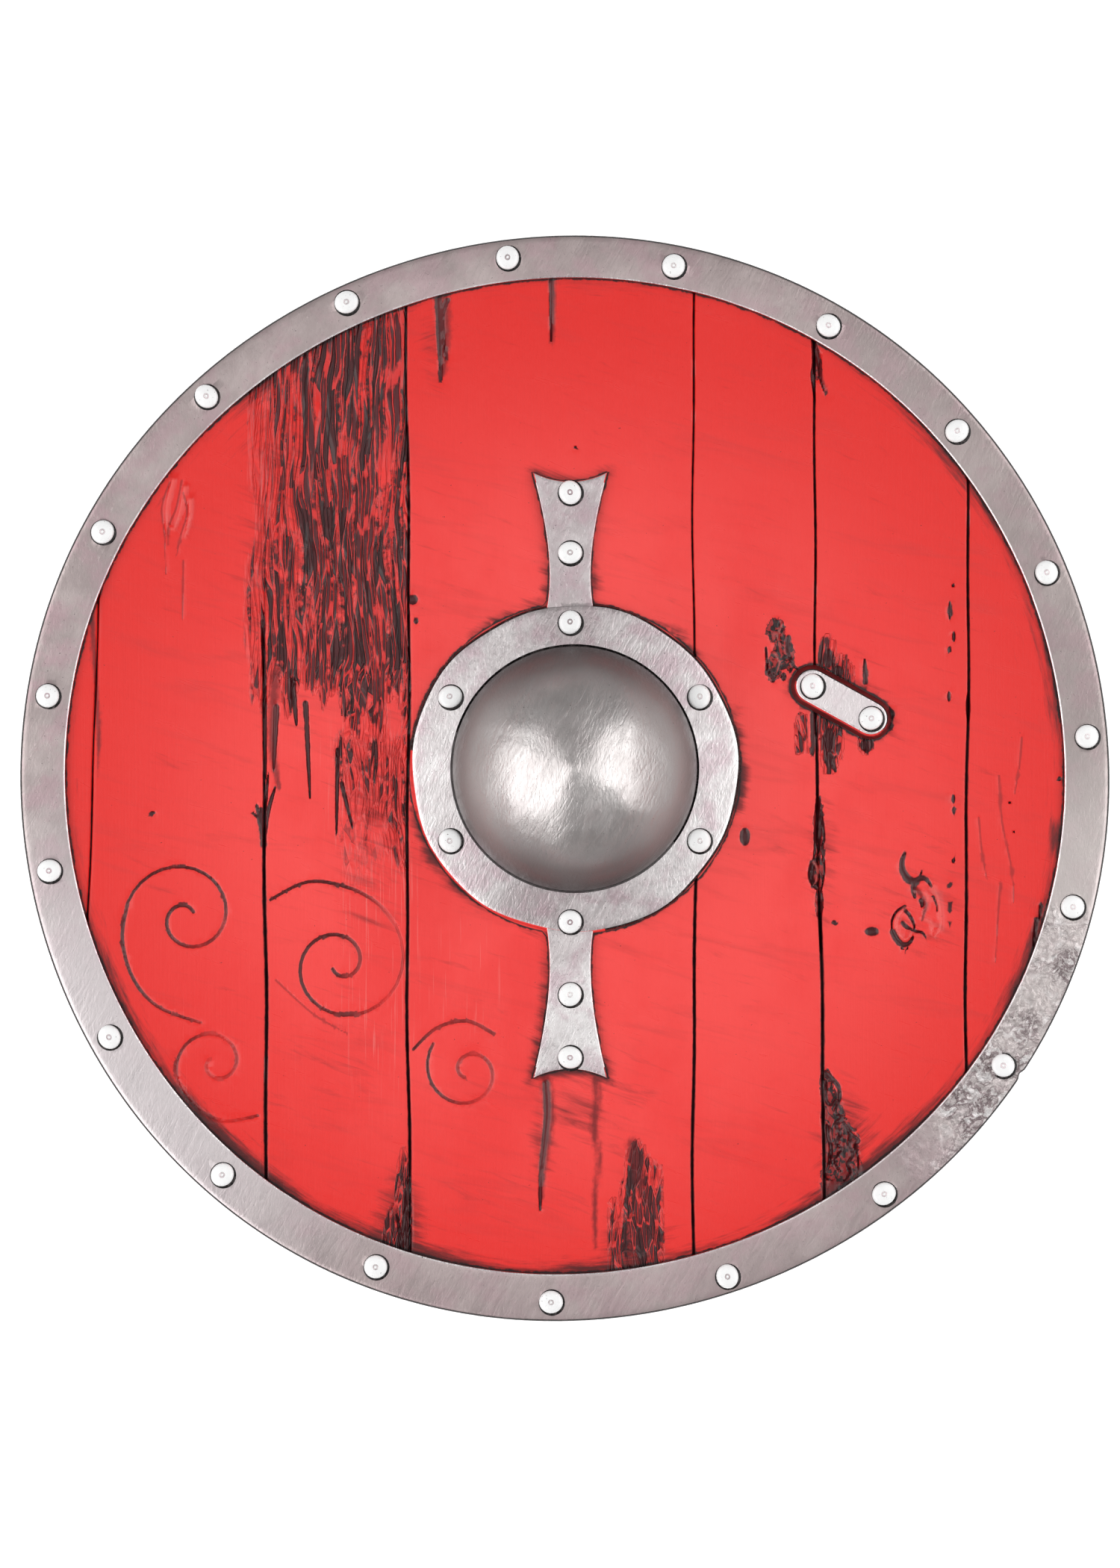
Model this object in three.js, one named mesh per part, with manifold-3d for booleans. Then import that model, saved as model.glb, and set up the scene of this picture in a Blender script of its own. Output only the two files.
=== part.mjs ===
// A round Viking-style shield: a costume piece moulded in one from self-skinned foam,
// with the plank joints, rim band, boss, strap, patch and nail heads all part of the moulding,
// and a wooden hand grip let into its flat back.
// Millimetres. The shield lies on its back: +Z points out of the face, +Y along the planks.
import * as THREE from "three";
import { mergeVertices } from "three/addons/utils/BufferGeometryUtils.js";
import Module from "manifold-3d";

// Driving dimensions
const SHIELD_RADIUS = 305;
const BOARD_THICKNESS = 18;
const RIM_WIDTH = 25.4;
const RIM_RISE = 3.5;
const RIM_EDGE_ROUND = 3;
const RIM_BORE_SHIFT = 1.4; // the band is a little wider at the bottom than at the top
const FOAM_WALL = 12;

// The outline is trimmed by hand: two even waves, so the box stays centred
const OUTLINE_WAVES = [
  { turns: 2, height: 1.2, peak: 65 },
  { turns: 4, height: 0.9, peak: -113 },
];

// Boss, flange and the strap with fishtail ends
const BOSS_X = 5.5;
const BOSS_Y = 5.4;
const FLANGE_RADIUS = 91.7;
const FLANGE_RISE = 3.4;
const FLANGE_CROWN = 2.6; // the flange climbs this much from its edge to the dome
const BOSS_RADIUS = 68.4;
const BOSS_HEIGHT = 56;
const BOSS_POINT = 0.25; // 0 is a round dome, 1 a cone
const STRAP_SHIFT = -2.6; // strap axis, left of the boss axis
const STRAP_UP = 166; // boss axis to the upper tips
const STRAP_DOWN = 173.5; // boss axis to the lower tips
const STRAP_ROOT = 13.9; // half-widths
const STRAP_WAIST = 7; // where the side curve is drawn in to
const STRAP_TIP = 21;
const TAIL_NOTCH = 10.4;

// Patch plate, held by two nails across a joint
const PATCH_X = 154.8;
const PATCH_Y = 42.6;
const PATCH_TURN = -29;
const PATCH_NAIL_GAP = 37.5;
const PATCH_END_RADIUS = 8.9;
const PATCH_FOOT = 3;
const PATCH_RISE = 4.5;

// Nail heads
const NAIL_RADIUS = 6.5;
const NAIL_HEIGHT = 2.8;
const RIM_NAILS = 19;
const RIM_NAIL_CIRCLE = 293;
const RIM_NAIL_START = 2.55;
const RIM_NAIL_DRIFT = 2.2; // hand-set: the nails crowd towards the top
const RIM_NAIL_DRIFT_PEAK = -20;
const FLANGE_NAIL_CIRCLE = 80.4;
const FLANGE_NAIL_ANGLE = 30; // above and below the level line, on both sides
const STRAP_NAIL_SHARES = [0.493, 0.728, 0.931]; // along each arm of the strap

// Plank joints: where each crosses the middle, and how far it leans
const JOINTS = [
  { x: -265.1, lean: -2.3 },
  { x: -168.1, lean: 0 },
  { x: -87.9, lean: 0.15 },
  { x: 72.5, lean: 0 },
  { x: 141.8, lean: 0.74 },
  { x: 225.4, lean: 0 },
];
const JOINT_WIDTH = 2.6;
const JOINT_DEPTH = 2.2;
const BACK_JOINT_DEPTH = 1.2;

// Moulded wear: each field is a strip of boat-shaped gouges that run along the grain
const WEAR_FIELDS = [
  { x: -126, y: 152, wide: 68, tall: 205, count: 42, long: 30, width: 3.4, deep: 1.6 },
  { x: -108, y: -2, wide: 30, tall: 80, count: 12, long: 20, width: 2.2, deep: 0.9 },
  { x: 22, y: -214, wide: 22, tall: 50, count: 9, long: 22, width: 3, deep: 1.4 },
  { x: 148, y: -176, wide: 14, tall: 58, count: 9, long: 13, width: 4, deep: 1.6 },
  { x: 111, y: 71, wide: 12, tall: 36, count: 7, long: 10, width: 4, deep: 1.4 },
  { x: 152, y: 20, wide: 16, tall: 34, count: 6, long: 13, width: 3.4, deep: 1.4 },
  { x: 148, y: 62, wide: 16, tall: 20, count: 4, long: 11, width: 3.4, deep: 1.4 },
  { x: -218, y: 168, wide: 16, tall: 46, count: 4, long: 30, width: 2.6, deep: 0.8 },
  { x: -16, y: -194, wide: 34, tall: 40, count: 3, long: 34, width: 2, deep: 0.8 },
];
const KNOT_X = 192;
const KNOT_Y = -80;
const KNOT_RADIUS = 9;
const KNOT_STROKES = 8;

// Dents in the lower right of the rim band
const DENT_COUNT = 15;
const DENT_FROM = -22;
const DENT_TO = -52;
const DENT_RADIUS = 5;
const DENT_DEPTH = 1.4;
const NICK_ANGLE = -33;
const NICK_SIZE = 5;

// Scored scrolls on the lower left planks: each is a spiral that unwinds
const SCROLLS = [
  { x: -212, y: -78, from: 40, turns: 1.35, inner: 5, outer: 34 },
  { x: -126, y: -104, from: 215, turns: 1.5, inner: 5, outer: 38 },
  { x: -196, y: -160, from: 150, turns: 1.2, inner: 4, outer: 24 },
];
const SCORE_STEPS_PER_TURN = 12;
const SCORE_WIDTH = 2;
const SCORE_DEPTH = 0.9;

// Hand grip across the hollow of the boss
const HOLLOW_RADIUS = 56;
const GRIP_LENGTH = 156;
const GRIP_WIDTH = 28;
const GRIP_LATH = 11.2;
const GRIP_INSET = 0.6;
const HANDLE_LENGTH = 98;
const HANDLE_RADIUS = 13;
const HANDLE_END_RADIUS = 9.5;
const FIT_GAP = 0.4;

// Facets
const RIM_FACETS = 96;
const BOSS_FACETS = 52;
const NAIL_FACETS = 12;

// Worked out from the above
const FACE_Z = BOARD_THICKNESS;
const RIM_TOP = FACE_Z + RIM_RISE;
const STRAP_TOP = FACE_Z + FLANGE_RISE;
const BOSS_FOOT = STRAP_TOP + FLANGE_CROWN;
const FACE_RADIUS = SHIELD_RADIUS - RIM_WIDTH;
const SUNK = 1; // how far an upper form runs into the one below, so that they fuse
const rad = THREE.MathUtils.degToRad;

const wasm = await Module();
wasm.setup();

function solidOf(geometry) {
  const bare = geometry.clone();
  bare.deleteAttribute("normal");
  bare.deleteAttribute("uv");
  const merged = mergeVertices(bare, 1e-3);
  const corners = merged.index.array;
  const kept = [];
  for (let i = 0; i < corners.length; i += 3) {
    const [a, b, c] = corners.slice(i, i + 3);
    if (a !== b && b !== c && a !== c) kept.push(a, b, c);
  }
  return new wasm.Manifold(
    new wasm.Mesh({
      numProp: 3,
      vertProperties: merged.getAttribute("position").array,
      triVerts: new Uint32Array(kept),
    }),
  );
}

function meshOf(name, solid, material) {
  const made = solid.getMesh();
  const geometry = new THREE.BufferGeometry();
  geometry.setAttribute("position", new THREE.BufferAttribute(made.vertProperties, 3));
  geometry.setIndex(new THREE.BufferAttribute(made.triVerts, 1));
  geometry.computeVertexNormals();
  const mesh = new THREE.Mesh(geometry, material);
  mesh.name = name;
  return mesh;
}

const fuse = (solids) => solids.reduce((all, next) => all.add(next));
const cutAll = (solid, cuts) => cuts.reduce((left, cut) => left.subtract(cut), solid);

// A form turned about Z from a profile of [radius, height] pairs, read from the bottom up.
function turned(profile, facets) {
  const points = profile.map(([r, z]) => new THREE.Vector2(r, z));
  return new THREE.LatheGeometry(points, facets).rotateX(Math.PI / 2);
}

// Points on an arc of a profile, as [radius, height] pairs.
function arc(r, z, radius, fromDeg, toDeg, steps) {
  return Array.from({ length: steps + 1 }, (_, i) => {
    const angle = rad(fromDeg + ((toDeg - fromDeg) * i) / steps);
    return [r + radius * Math.cos(angle), z + radius * Math.sin(angle)];
  });
}

// Profile of a slightly pointed dome, from its foot to the axis.
function dome(foot, radius, height, steps) {
  return Array.from({ length: steps + 1 }, (_, i) => {
    const angle = rad((90 * i) / steps);
    const share = (1 - BOSS_POINT) * Math.sin(angle) + BOSS_POINT * (1 - Math.cos(angle));
    return [radius * Math.cos(angle), foot + height * share];
  });
}

// Moves a turned form's outer parts with the hand-trimmed outline.
function trimByHand(geometry) {
  const position = geometry.getAttribute("position");
  for (let i = 0; i < position.count; i++) {
    const x = position.getX(i);
    const y = position.getY(i);
    const angle = Math.atan2(y, x);
    const wave = OUTLINE_WAVES.reduce(
      (sum, w) => sum + w.height * Math.cos(w.turns * angle - rad(w.peak)),
      0,
    );
    const grow = 1 + wave / SHIELD_RADIUS;
    position.setXY(i, x * grow, y * grow);
  }
  return geometry;
}

// A repeatable scatter: the same index and salt always give the same share from 0 to 1.
function scatter(index, salt) {
  const wave = Math.sin(index * 12.9898 + salt * 78.233) * 43758.5453;
  return wave - Math.floor(wave);
}

// A boat-shaped cut along Y, sunk to its half depth at z.
function gouge(x, y, z, width, length, depth, turnDeg) {
  return new THREE.OctahedronGeometry(1)
    .scale(width / 2, length / 2, depth)
    .rotateZ(rad(turnDeg))
    .translate(x, y, z);
}

// The board with its raised rim band
function board() {
  const edge = RIM_EDGE_ROUND;
  const blank = turned(
    [
      [0, 0],
      ...arc(SHIELD_RADIUS - edge, edge, edge, -90, 0, 2),
      ...arc(SHIELD_RADIUS - edge, RIM_TOP - edge, edge, 0, 90, 2),
      [0, RIM_TOP],
    ],
    RIM_FACETS,
  );
  const draft = 0.8;
  const recess = turned(
    [
      [0, FACE_Z],
      [FACE_RADIUS - draft, FACE_Z],
      [FACE_RADIUS + draft, RIM_TOP + RIM_RISE],
      [0, RIM_TOP + RIM_RISE],
    ],
    RIM_FACETS,
  ).translate(0, RIM_BORE_SHIFT, 0);
  return solidOf(trimByHand(blank)).subtract(solidOf(trimByHand(recess)));
}

// V-shaped joint lines between the planks, on the face or on the back
function joints(depth, z, outward) {
  return JOINTS.map(({ x, lean }) => {
    const reach = Math.sqrt(FACE_RADIUS ** 2 - x ** 2) - JOINT_WIDTH - 1;
    const section = new THREE.Shape([
      new THREE.Vector2(0, -depth * outward),
      new THREE.Vector2(JOINT_WIDTH / 2, 0),
      new THREE.Vector2(JOINT_WIDTH / 2, outward),
      new THREE.Vector2(-JOINT_WIDTH / 2, outward),
      new THREE.Vector2(-JOINT_WIDTH / 2, 0),
    ]);
    const wedge = new THREE.ExtrudeGeometry(section, { depth: 2 * reach, bevelEnabled: false })
      .translate(0, 0, -reach)
      .rotateX(Math.PI / 2)
      .rotateZ(rad(lean))
      .translate(x, RIM_BORE_SHIFT, z);
    return solidOf(wedge);
  });
}

// Gouges of one wear field, spread over it and leaning a little off the grain
function wear({ x, y, wide, tall, count, long, width, deep }, field) {
  const leanMost = 9;
  return Array.from({ length: count }, (_, i) => {
    const across = x + (((i * 0.618) % 1) - 0.5) * wide;
    const along = y + (scatter(i, field + 1) - 0.5) * (tall - long);
    const share = 0.6 + 0.8 * scatter(i, field + 20);
    const lean = (scatter(i, field + 40) - 0.5) * 2 * leanMost;
    return solidOf(gouge(across, along, FACE_Z, width * share, long * share, deep * share, lean));
  });
}

// A knot in the grain: short strokes round a ring
function knot() {
  return Array.from({ length: KNOT_STROKES }, (_, i) => {
    const angle = (360 * i) / KNOT_STROKES;
    const reach = KNOT_RADIUS * (0.75 + 0.5 * scatter(i, 3));
    const x = KNOT_X + reach * Math.cos(rad(angle));
    const y = KNOT_Y + 1.5 * reach * Math.sin(rad(angle));
    return solidOf(gouge(x, y, FACE_Z, 3.6, 13, 1.5, angle + 15));
  });
}

// Knocks on the rim band
function dents() {
  return Array.from({ length: DENT_COUNT }, (_, i) => {
    const angle = rad(DENT_FROM + ((DENT_TO - DENT_FROM) * (i + scatter(i, 5))) / DENT_COUNT);
    const reach = SHIELD_RADIUS - RIM_WIDTH * (0.3 + 0.45 * scatter(i, 6));
    const size = DENT_RADIUS * (0.7 + 0.6 * scatter(i, 7));
    const dent = new THREE.OctahedronGeometry(1)
      .scale(size, size * 1.4, DENT_DEPTH)
      .rotateZ(angle)
      .translate(reach * Math.cos(angle), reach * Math.sin(angle), RIM_TOP);
    return solidOf(dent);
  });
}

// A nick out of the rim's outer edge
function edgeNick() {
  const angle = rad(NICK_ANGLE);
  const nick = new THREE.OctahedronGeometry(NICK_SIZE).rotateZ(angle);
  const x = SHIELD_RADIUS * Math.cos(angle);
  const y = SHIELD_RADIUS * Math.sin(angle);
  return solidOf(nick.translate(x, y, RIM_TOP));
}

// A scored spiral, cut as a chain of short overlapping strokes
function scroll({ x, y, from, turns, inner, outer }) {
  const steps = Math.round(turns * SCORE_STEPS_PER_TURN);
  const at = (share) => {
    const angle = rad(from + 360 * turns * share);
    const reach = inner + (outer - inner) * share ** 1.3;
    return new THREE.Vector2(x + reach * Math.cos(angle), y + reach * Math.sin(angle));
  };
  return Array.from({ length: steps }, (_, i) => {
    const a = at(i / steps);
    const b = at((i + 1) / steps);
    const middle = a.clone().add(b).divideScalar(2);
    const stroke = b.clone().sub(a);
    const turn = THREE.MathUtils.radToDeg(stroke.angle()) - 90;
    const overlap = 1.7;
    const length = stroke.length() * overlap;
    return solidOf(gouge(middle.x, middle.y, FACE_Z, SCORE_WIDTH, length, SCORE_DEPTH, turn));
  });
}

// Hollow boss: the dome outside, and the hand space that is cut from behind
function bossDome() {
  const outside = turned(
    [
      [0, FACE_Z - SUNK],
      [BOSS_RADIUS, FACE_Z - SUNK],
      ...dome(BOSS_FOOT, BOSS_RADIUS, BOSS_HEIGHT, 9),
    ],
    BOSS_FACETS,
  );
  return solidOf(outside.translate(BOSS_X, BOSS_Y, 0));
}

function bossHollow() {
  const hollow = turned(
    [
      [0, -SUNK],
      [HOLLOW_RADIUS, -SUNK],
      ...dome(BOSS_FOOT, HOLLOW_RADIUS, BOSS_HEIGHT - FOAM_WALL, 6),
    ],
    BOSS_FACETS,
  );
  return solidOf(hollow.translate(BOSS_X, BOSS_Y, 0));
}

// Height of the flange's top at a distance from the boss axis, and of the strap beyond it.
function plateTop(reach) {
  const climb = (FLANGE_RADIUS - reach) / (FLANGE_RADIUS - BOSS_RADIUS);
  return STRAP_TOP + FLANGE_CROWN * THREE.MathUtils.clamp(climb, 0, 1);
}

function flange() {
  const edge = 0.8;
  const plate = turned(
    [
      [0, FACE_Z - SUNK],
      [FLANGE_RADIUS + edge, FACE_Z - SUNK],
      [FLANGE_RADIUS, STRAP_TOP - edge],
      [FLANGE_RADIUS - edge, STRAP_TOP],
      [BOSS_RADIUS, BOSS_FOOT],
      [0, BOSS_FOOT],
    ],
    BOSS_FACETS,
  );
  return solidOf(plate.translate(BOSS_X, BOSS_Y, 0));
}

// One arm of the strap, up (side 1) or down (side -1), with a fishtail end
function strapArm(side, length) {
  const root = FLANGE_RADIUS - 6;
  const waistAt = root + (length - root) * 0.42;
  const outline = new THREE.Shape();
  outline.moveTo(STRAP_ROOT, root);
  outline.quadraticCurveTo(STRAP_WAIST, waistAt, STRAP_TIP, length);
  outline.quadraticCurveTo(0, length - TAIL_NOTCH, -STRAP_TIP, length);
  outline.quadraticCurveTo(-STRAP_WAIST, waistAt, -STRAP_ROOT, root);
  const arm = new THREE.ExtrudeGeometry(outline, {
    depth: FLANGE_RISE + SUNK,
    bevelEnabled: false,
    curveSegments: 8,
  });
  if (side < 0) arm.rotateZ(Math.PI);
  return solidOf(arm.translate(BOSS_X + STRAP_SHIFT, BOSS_Y, FACE_Z - SUNK));
}

// Patch plate with rounded ends and sloping sides
function patch() {
  const half = PATCH_NAIL_GAP / 2;
  const outline = new THREE.Shape();
  outline.absarc(half, 0, PATCH_END_RADIUS, -Math.PI / 2, Math.PI / 2, false);
  outline.absarc(-half, 0, PATCH_END_RADIUS, Math.PI / 2, 1.5 * Math.PI, false);
  const plate = new THREE.ExtrudeGeometry(outline, {
    depth: SUNK,
    bevelSize: PATCH_FOOT,
    bevelThickness: PATCH_RISE,
    bevelSegments: 1,
    curveSegments: 8,
  });
  plate.rotateZ(rad(PATCH_TURN)).translate(PATCH_X, PATCH_Y, FACE_Z - SUNK);
  return solidOf(plate);
}

// A domed nail head standing on a surface at height z
function nailHead(x, y, z) {
  const head = turned(
    [
      [0, -SUNK],
      [NAIL_RADIUS, -SUNK],
      [NAIL_RADIUS, NAIL_HEIGHT * 0.25],
      [NAIL_RADIUS * 0.82, NAIL_HEIGHT * 0.72],
      [NAIL_RADIUS * 0.45, NAIL_HEIGHT * 0.95],
      [0, NAIL_HEIGHT],
    ],
    NAIL_FACETS,
  );
  return solidOf(head.translate(x, y, z));
}

function rimNails() {
  return Array.from({ length: RIM_NAILS }, (_, i) => {
    const even = RIM_NAIL_START + (360 * i) / RIM_NAILS;
    const angle = rad(even + RIM_NAIL_DRIFT * Math.cos(rad(even - RIM_NAIL_DRIFT_PEAK)));
    const x = RIM_NAIL_CIRCLE * Math.cos(angle);
    const y = RIM_NAIL_CIRCLE * Math.sin(angle);
    return nailHead(x, y, RIM_TOP);
  });
}

function flangeNails() {
  const across = FLANGE_NAIL_CIRCLE * Math.cos(rad(FLANGE_NAIL_ANGLE));
  const along = FLANGE_NAIL_CIRCLE * Math.sin(rad(FLANGE_NAIL_ANGLE));
  return [-1, 1].flatMap((side) =>
    [-1, 1].map((end) =>
      nailHead(BOSS_X + side * across, BOSS_Y + end * along, plateTop(FLANGE_NAIL_CIRCLE)),
    ),
  );
}

function strapNails() {
  return [STRAP_UP, -STRAP_DOWN].flatMap((length) =>
    STRAP_NAIL_SHARES.map((share) => {
      const along = share * length;
      return nailHead(BOSS_X + STRAP_SHIFT, BOSS_Y + along, plateTop(Math.abs(along)));
    }),
  );
}

function patchNails() {
  return [-0.5, 0.5].map((share) => {
    const along = share * PATCH_NAIL_GAP;
    const x = PATCH_X + along * Math.cos(rad(PATCH_TURN));
    const y = PATCH_Y + along * Math.sin(rad(PATCH_TURN));
    return nailHead(x, y, FACE_Z + PATCH_RISE);
  });
}

// Pocket in the back that takes the lath of the grip
function gripPocket() {
  const depth = GRIP_INSET + GRIP_LATH + FIT_GAP + SUNK;
  const pocket = new THREE.BoxGeometry(
    GRIP_LENGTH + 2 * FIT_GAP,
    GRIP_WIDTH + 2 * FIT_GAP,
    depth,
  );
  return solidOf(pocket.translate(BOSS_X, BOSS_Y, depth / 2 - SUNK));
}

function shieldSolid() {
  const worn = cutAll(board(), [
    ...joints(JOINT_DEPTH, FACE_Z, 1),
    ...joints(BACK_JOINT_DEPTH, 0, -1),
    ...WEAR_FIELDS.flatMap(wear),
    ...knot(),
    ...dents(),
    edgeNick(),
    ...SCROLLS.flatMap(scroll),
  ]);
  const plated = fuse([
    worn,
    flange(),
    strapArm(1, STRAP_UP),
    strapArm(-1, STRAP_DOWN),
    bossDome(),
    patch(),
    ...rimNails(),
    ...flangeNails(),
    ...strapNails(),
    ...patchNails(),
  ]);
  return plated.subtract(bossHollow()).subtract(gripPocket());
}

// Grip: a flat lath that lies in the pocket, swelling into a rounded handle
function gripSolid() {
  const bevel = 1.2;
  const lathOutline = new THREE.Shape();
  const halfLength = GRIP_LENGTH / 2 - bevel;
  const halfWidth = GRIP_WIDTH / 2 - bevel;
  lathOutline.moveTo(-halfLength, -halfWidth);
  lathOutline.lineTo(halfLength, -halfWidth);
  lathOutline.lineTo(halfLength, halfWidth);
  lathOutline.lineTo(-halfLength, halfWidth);
  const lath = new THREE.ExtrudeGeometry(lathOutline, {
    depth: GRIP_LATH - 2 * bevel,
    bevelSize: bevel,
    bevelThickness: bevel,
    bevelSegments: 2,
  }).translate(0, 0, GRIP_INSET + bevel);
  const half = HANDLE_LENGTH / 2;
  const steps = 8;
  const barrel = Array.from({ length: steps + 1 }, (_, i) => {
    const along = -half + (HANDLE_LENGTH * i) / steps;
    const swell = Math.cos((Math.PI / 2) * (along / half)) ** 0.6;
    return [HANDLE_END_RADIUS + (HANDLE_RADIUS - HANDLE_END_RADIUS) * swell, along];
  });
  const handle = turned([[0, -half], ...barrel, [0, half]], 20)
    .rotateY(Math.PI / 2)
    .translate(0, 0, GRIP_INSET + HANDLE_RADIUS);
  return solidOf(lath).add(solidOf(handle)).translate([BOSS_X, BOSS_Y, 0]);
}

const paintedFoam = new THREE.MeshStandardMaterial({
  color: 0xe23a34,
  roughness: 0.45,
  metalness: 0,
});
const stainedWood = new THREE.MeshStandardMaterial({
  color: 0x4a3222,
  roughness: 0.6,
  metalness: 0,
});

const part = new THREE.Group();
part.add(meshOf("moulded_shield", shieldSolid(), paintedFoam));
part.add(meshOf("hand_grip", gripSolid(), stainedWood));

export default part;
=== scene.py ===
import math

import bmesh
import bpy
import numpy as np
from mathutils import Matrix, Vector, noise


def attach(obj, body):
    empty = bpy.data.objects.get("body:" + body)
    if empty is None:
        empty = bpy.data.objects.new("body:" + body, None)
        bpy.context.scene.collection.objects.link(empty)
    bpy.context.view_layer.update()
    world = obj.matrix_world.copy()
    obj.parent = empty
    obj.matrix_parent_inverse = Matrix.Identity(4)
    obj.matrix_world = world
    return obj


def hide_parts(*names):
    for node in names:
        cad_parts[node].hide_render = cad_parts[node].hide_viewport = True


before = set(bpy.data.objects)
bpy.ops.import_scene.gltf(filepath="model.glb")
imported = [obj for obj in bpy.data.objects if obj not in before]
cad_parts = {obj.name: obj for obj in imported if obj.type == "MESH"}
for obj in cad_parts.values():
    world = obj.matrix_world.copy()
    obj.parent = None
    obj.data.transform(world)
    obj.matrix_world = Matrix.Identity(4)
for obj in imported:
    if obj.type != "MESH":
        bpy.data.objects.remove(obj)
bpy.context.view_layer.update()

# Planked face. The moulding's front: seven planks with open joints between them, cast in
# self-skinned foam, brushed with red paint and aged with black paint in every hollow.
# Places are in millimetres from the shield's centre until each mesh is finished.
SHIELD_RADIUS = 305.0
RIM_WIDTH = 25.4
RIM_BORE_SHIFT = 1.4
FACE_RADIUS = SHIELD_RADIUS - RIM_WIDTH
FACE_Z = 18.0
FACE_FOOT = 8.0
FACE_REACH = 299.0
FACE_ROWS = 166
COARSE_COLUMN = 3.3
FINE_COLUMN = 1.2
JOINT_COLUMNS = (0.5, 1.0, 1.6, 2.8)
JOINT_DEPTH = 2.0
JOINT_HALF_WIDTH = 1.1
WORN_PLANK = 2
JOINTS = [(-265.1, -2.3), (-168.1, 0.0), (-87.9, 0.15), (72.5, 0.0), (141.8, 0.74), (225.4, 0.0)]
# Half-width of the black line in each joint, high on the shield and low on it
JOINT_LINES = [(0.28, 0.40), (0.04, 0.85), (0.65, 0.75), (0.42, 0.75), (0.55, 0.85), (0.60, 0.75)]


def ease(value, low, high):
    """0 below low, 1 above high, and a smooth step between."""
    share = np.clip((value - low) / (high - low), 0, 1)
    return share * share * (3 - 2 * share)


def joint_x(number, y):
    """Where joint 1 to 6 runs at height y; 0 and 7 are the outer ends of the face."""
    if number in (0, len(JOINTS) + 1):
        return math.copysign(FACE_REACH, number - 1) + 0 * y
    x, lean = JOINTS[number - 1]
    wander = 0.8 * np.sin(y / 61 + 2.1 * number) + 0.35 * np.sin(y / 19 + 4 * number)
    return x - math.tan(math.radians(lean)) * (y - RIM_BORE_SHIFT) + wander


def joint_gap(x, y):
    """Distance from the nearest joint's centre line."""
    return np.min([abs(x - joint_x(n, y)) for n in range(1, len(JOINTS) + 1)], axis=0)


def joint_line(x, y):
    """Distance from the nearest joint as a share of its black line's half-width."""
    shares = []
    for number, (high, low) in enumerate(JOINT_LINES, 1):
        half = low + (high - low) * ease(y, -60, 110)
        shares.append(abs(x - joint_x(number, y)) / half)
    return np.min(shares, axis=0)


def ruffle(x, y, wide, tall, seed):
    """Smooth noise from about -1 to 1 with features of the given size."""
    return np.array([noise.noise((a / wide, b / tall, seed)) for a, b in zip(x, y)])


def curve(points, per_leg=6):
    """More points on a smooth curve through the given ones."""
    ends = [points[0]] + list(points) + [points[-1]]
    made = []
    for a, b, c, d in zip(ends, ends[1:], ends[2:], ends[3:]):
        for number in range(per_leg):
            t = number / per_leg
            weights = (-t + 2 * t**2 - t**3, 2 - 5 * t**2 + 3 * t**3,
                       t + 4 * t**2 - 3 * t**3, t**3 - t**2)
            made.append(tuple(sum(w * p[i] for w, p in zip(weights, (a, b, c, d))) / 2 for i in (0, 1)))
    return made + [points[-1]]


def stroke_cover(x, y, points, half_width, taper=0.65):
    """Cover of a tapering brush stroke: 1 on its line, 0.5 at its edge, 0 well clear of it."""
    cover = np.zeros_like(x)
    legs = len(points) - 1
    for leg in range(legs):
        (ax, ay), (bx, by) = points[leg], points[leg + 1]
        dx, dy = bx - ax, by - ay
        share = np.clip(((x - ax) * dx + (y - ay) * dy) / (dx * dx + dy * dy), 0, 1)
        away = np.hypot(x - ax - share * dx, y - ay - share * dy)
        half = half_width * (1 - taper * ((leg + share) / legs) ** 2)
        cover = np.maximum(cover, 1 - 0.5 * away / half)
    return np.maximum(cover, 0)


def spot_cover(x, y, spot):
    """Cover of an oval spot: 1 in the middle, 0.5 at its edge."""
    cx, cy, wide, tall = spot
    return np.maximum(1 - 0.5 * np.hypot((x - cx) / wide, (y - cy) / tall) ** 2, 0)


def most(covers):
    return np.max(covers, axis=0)


def strokes_cover(x, y, strokes):
    return most([stroke_cover(x, y, curve(points), half) for points, half in strokes])


def spots_cover(x, y, spots):
    return most([spot_cover(x, y, spot) for spot in spots])


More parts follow.
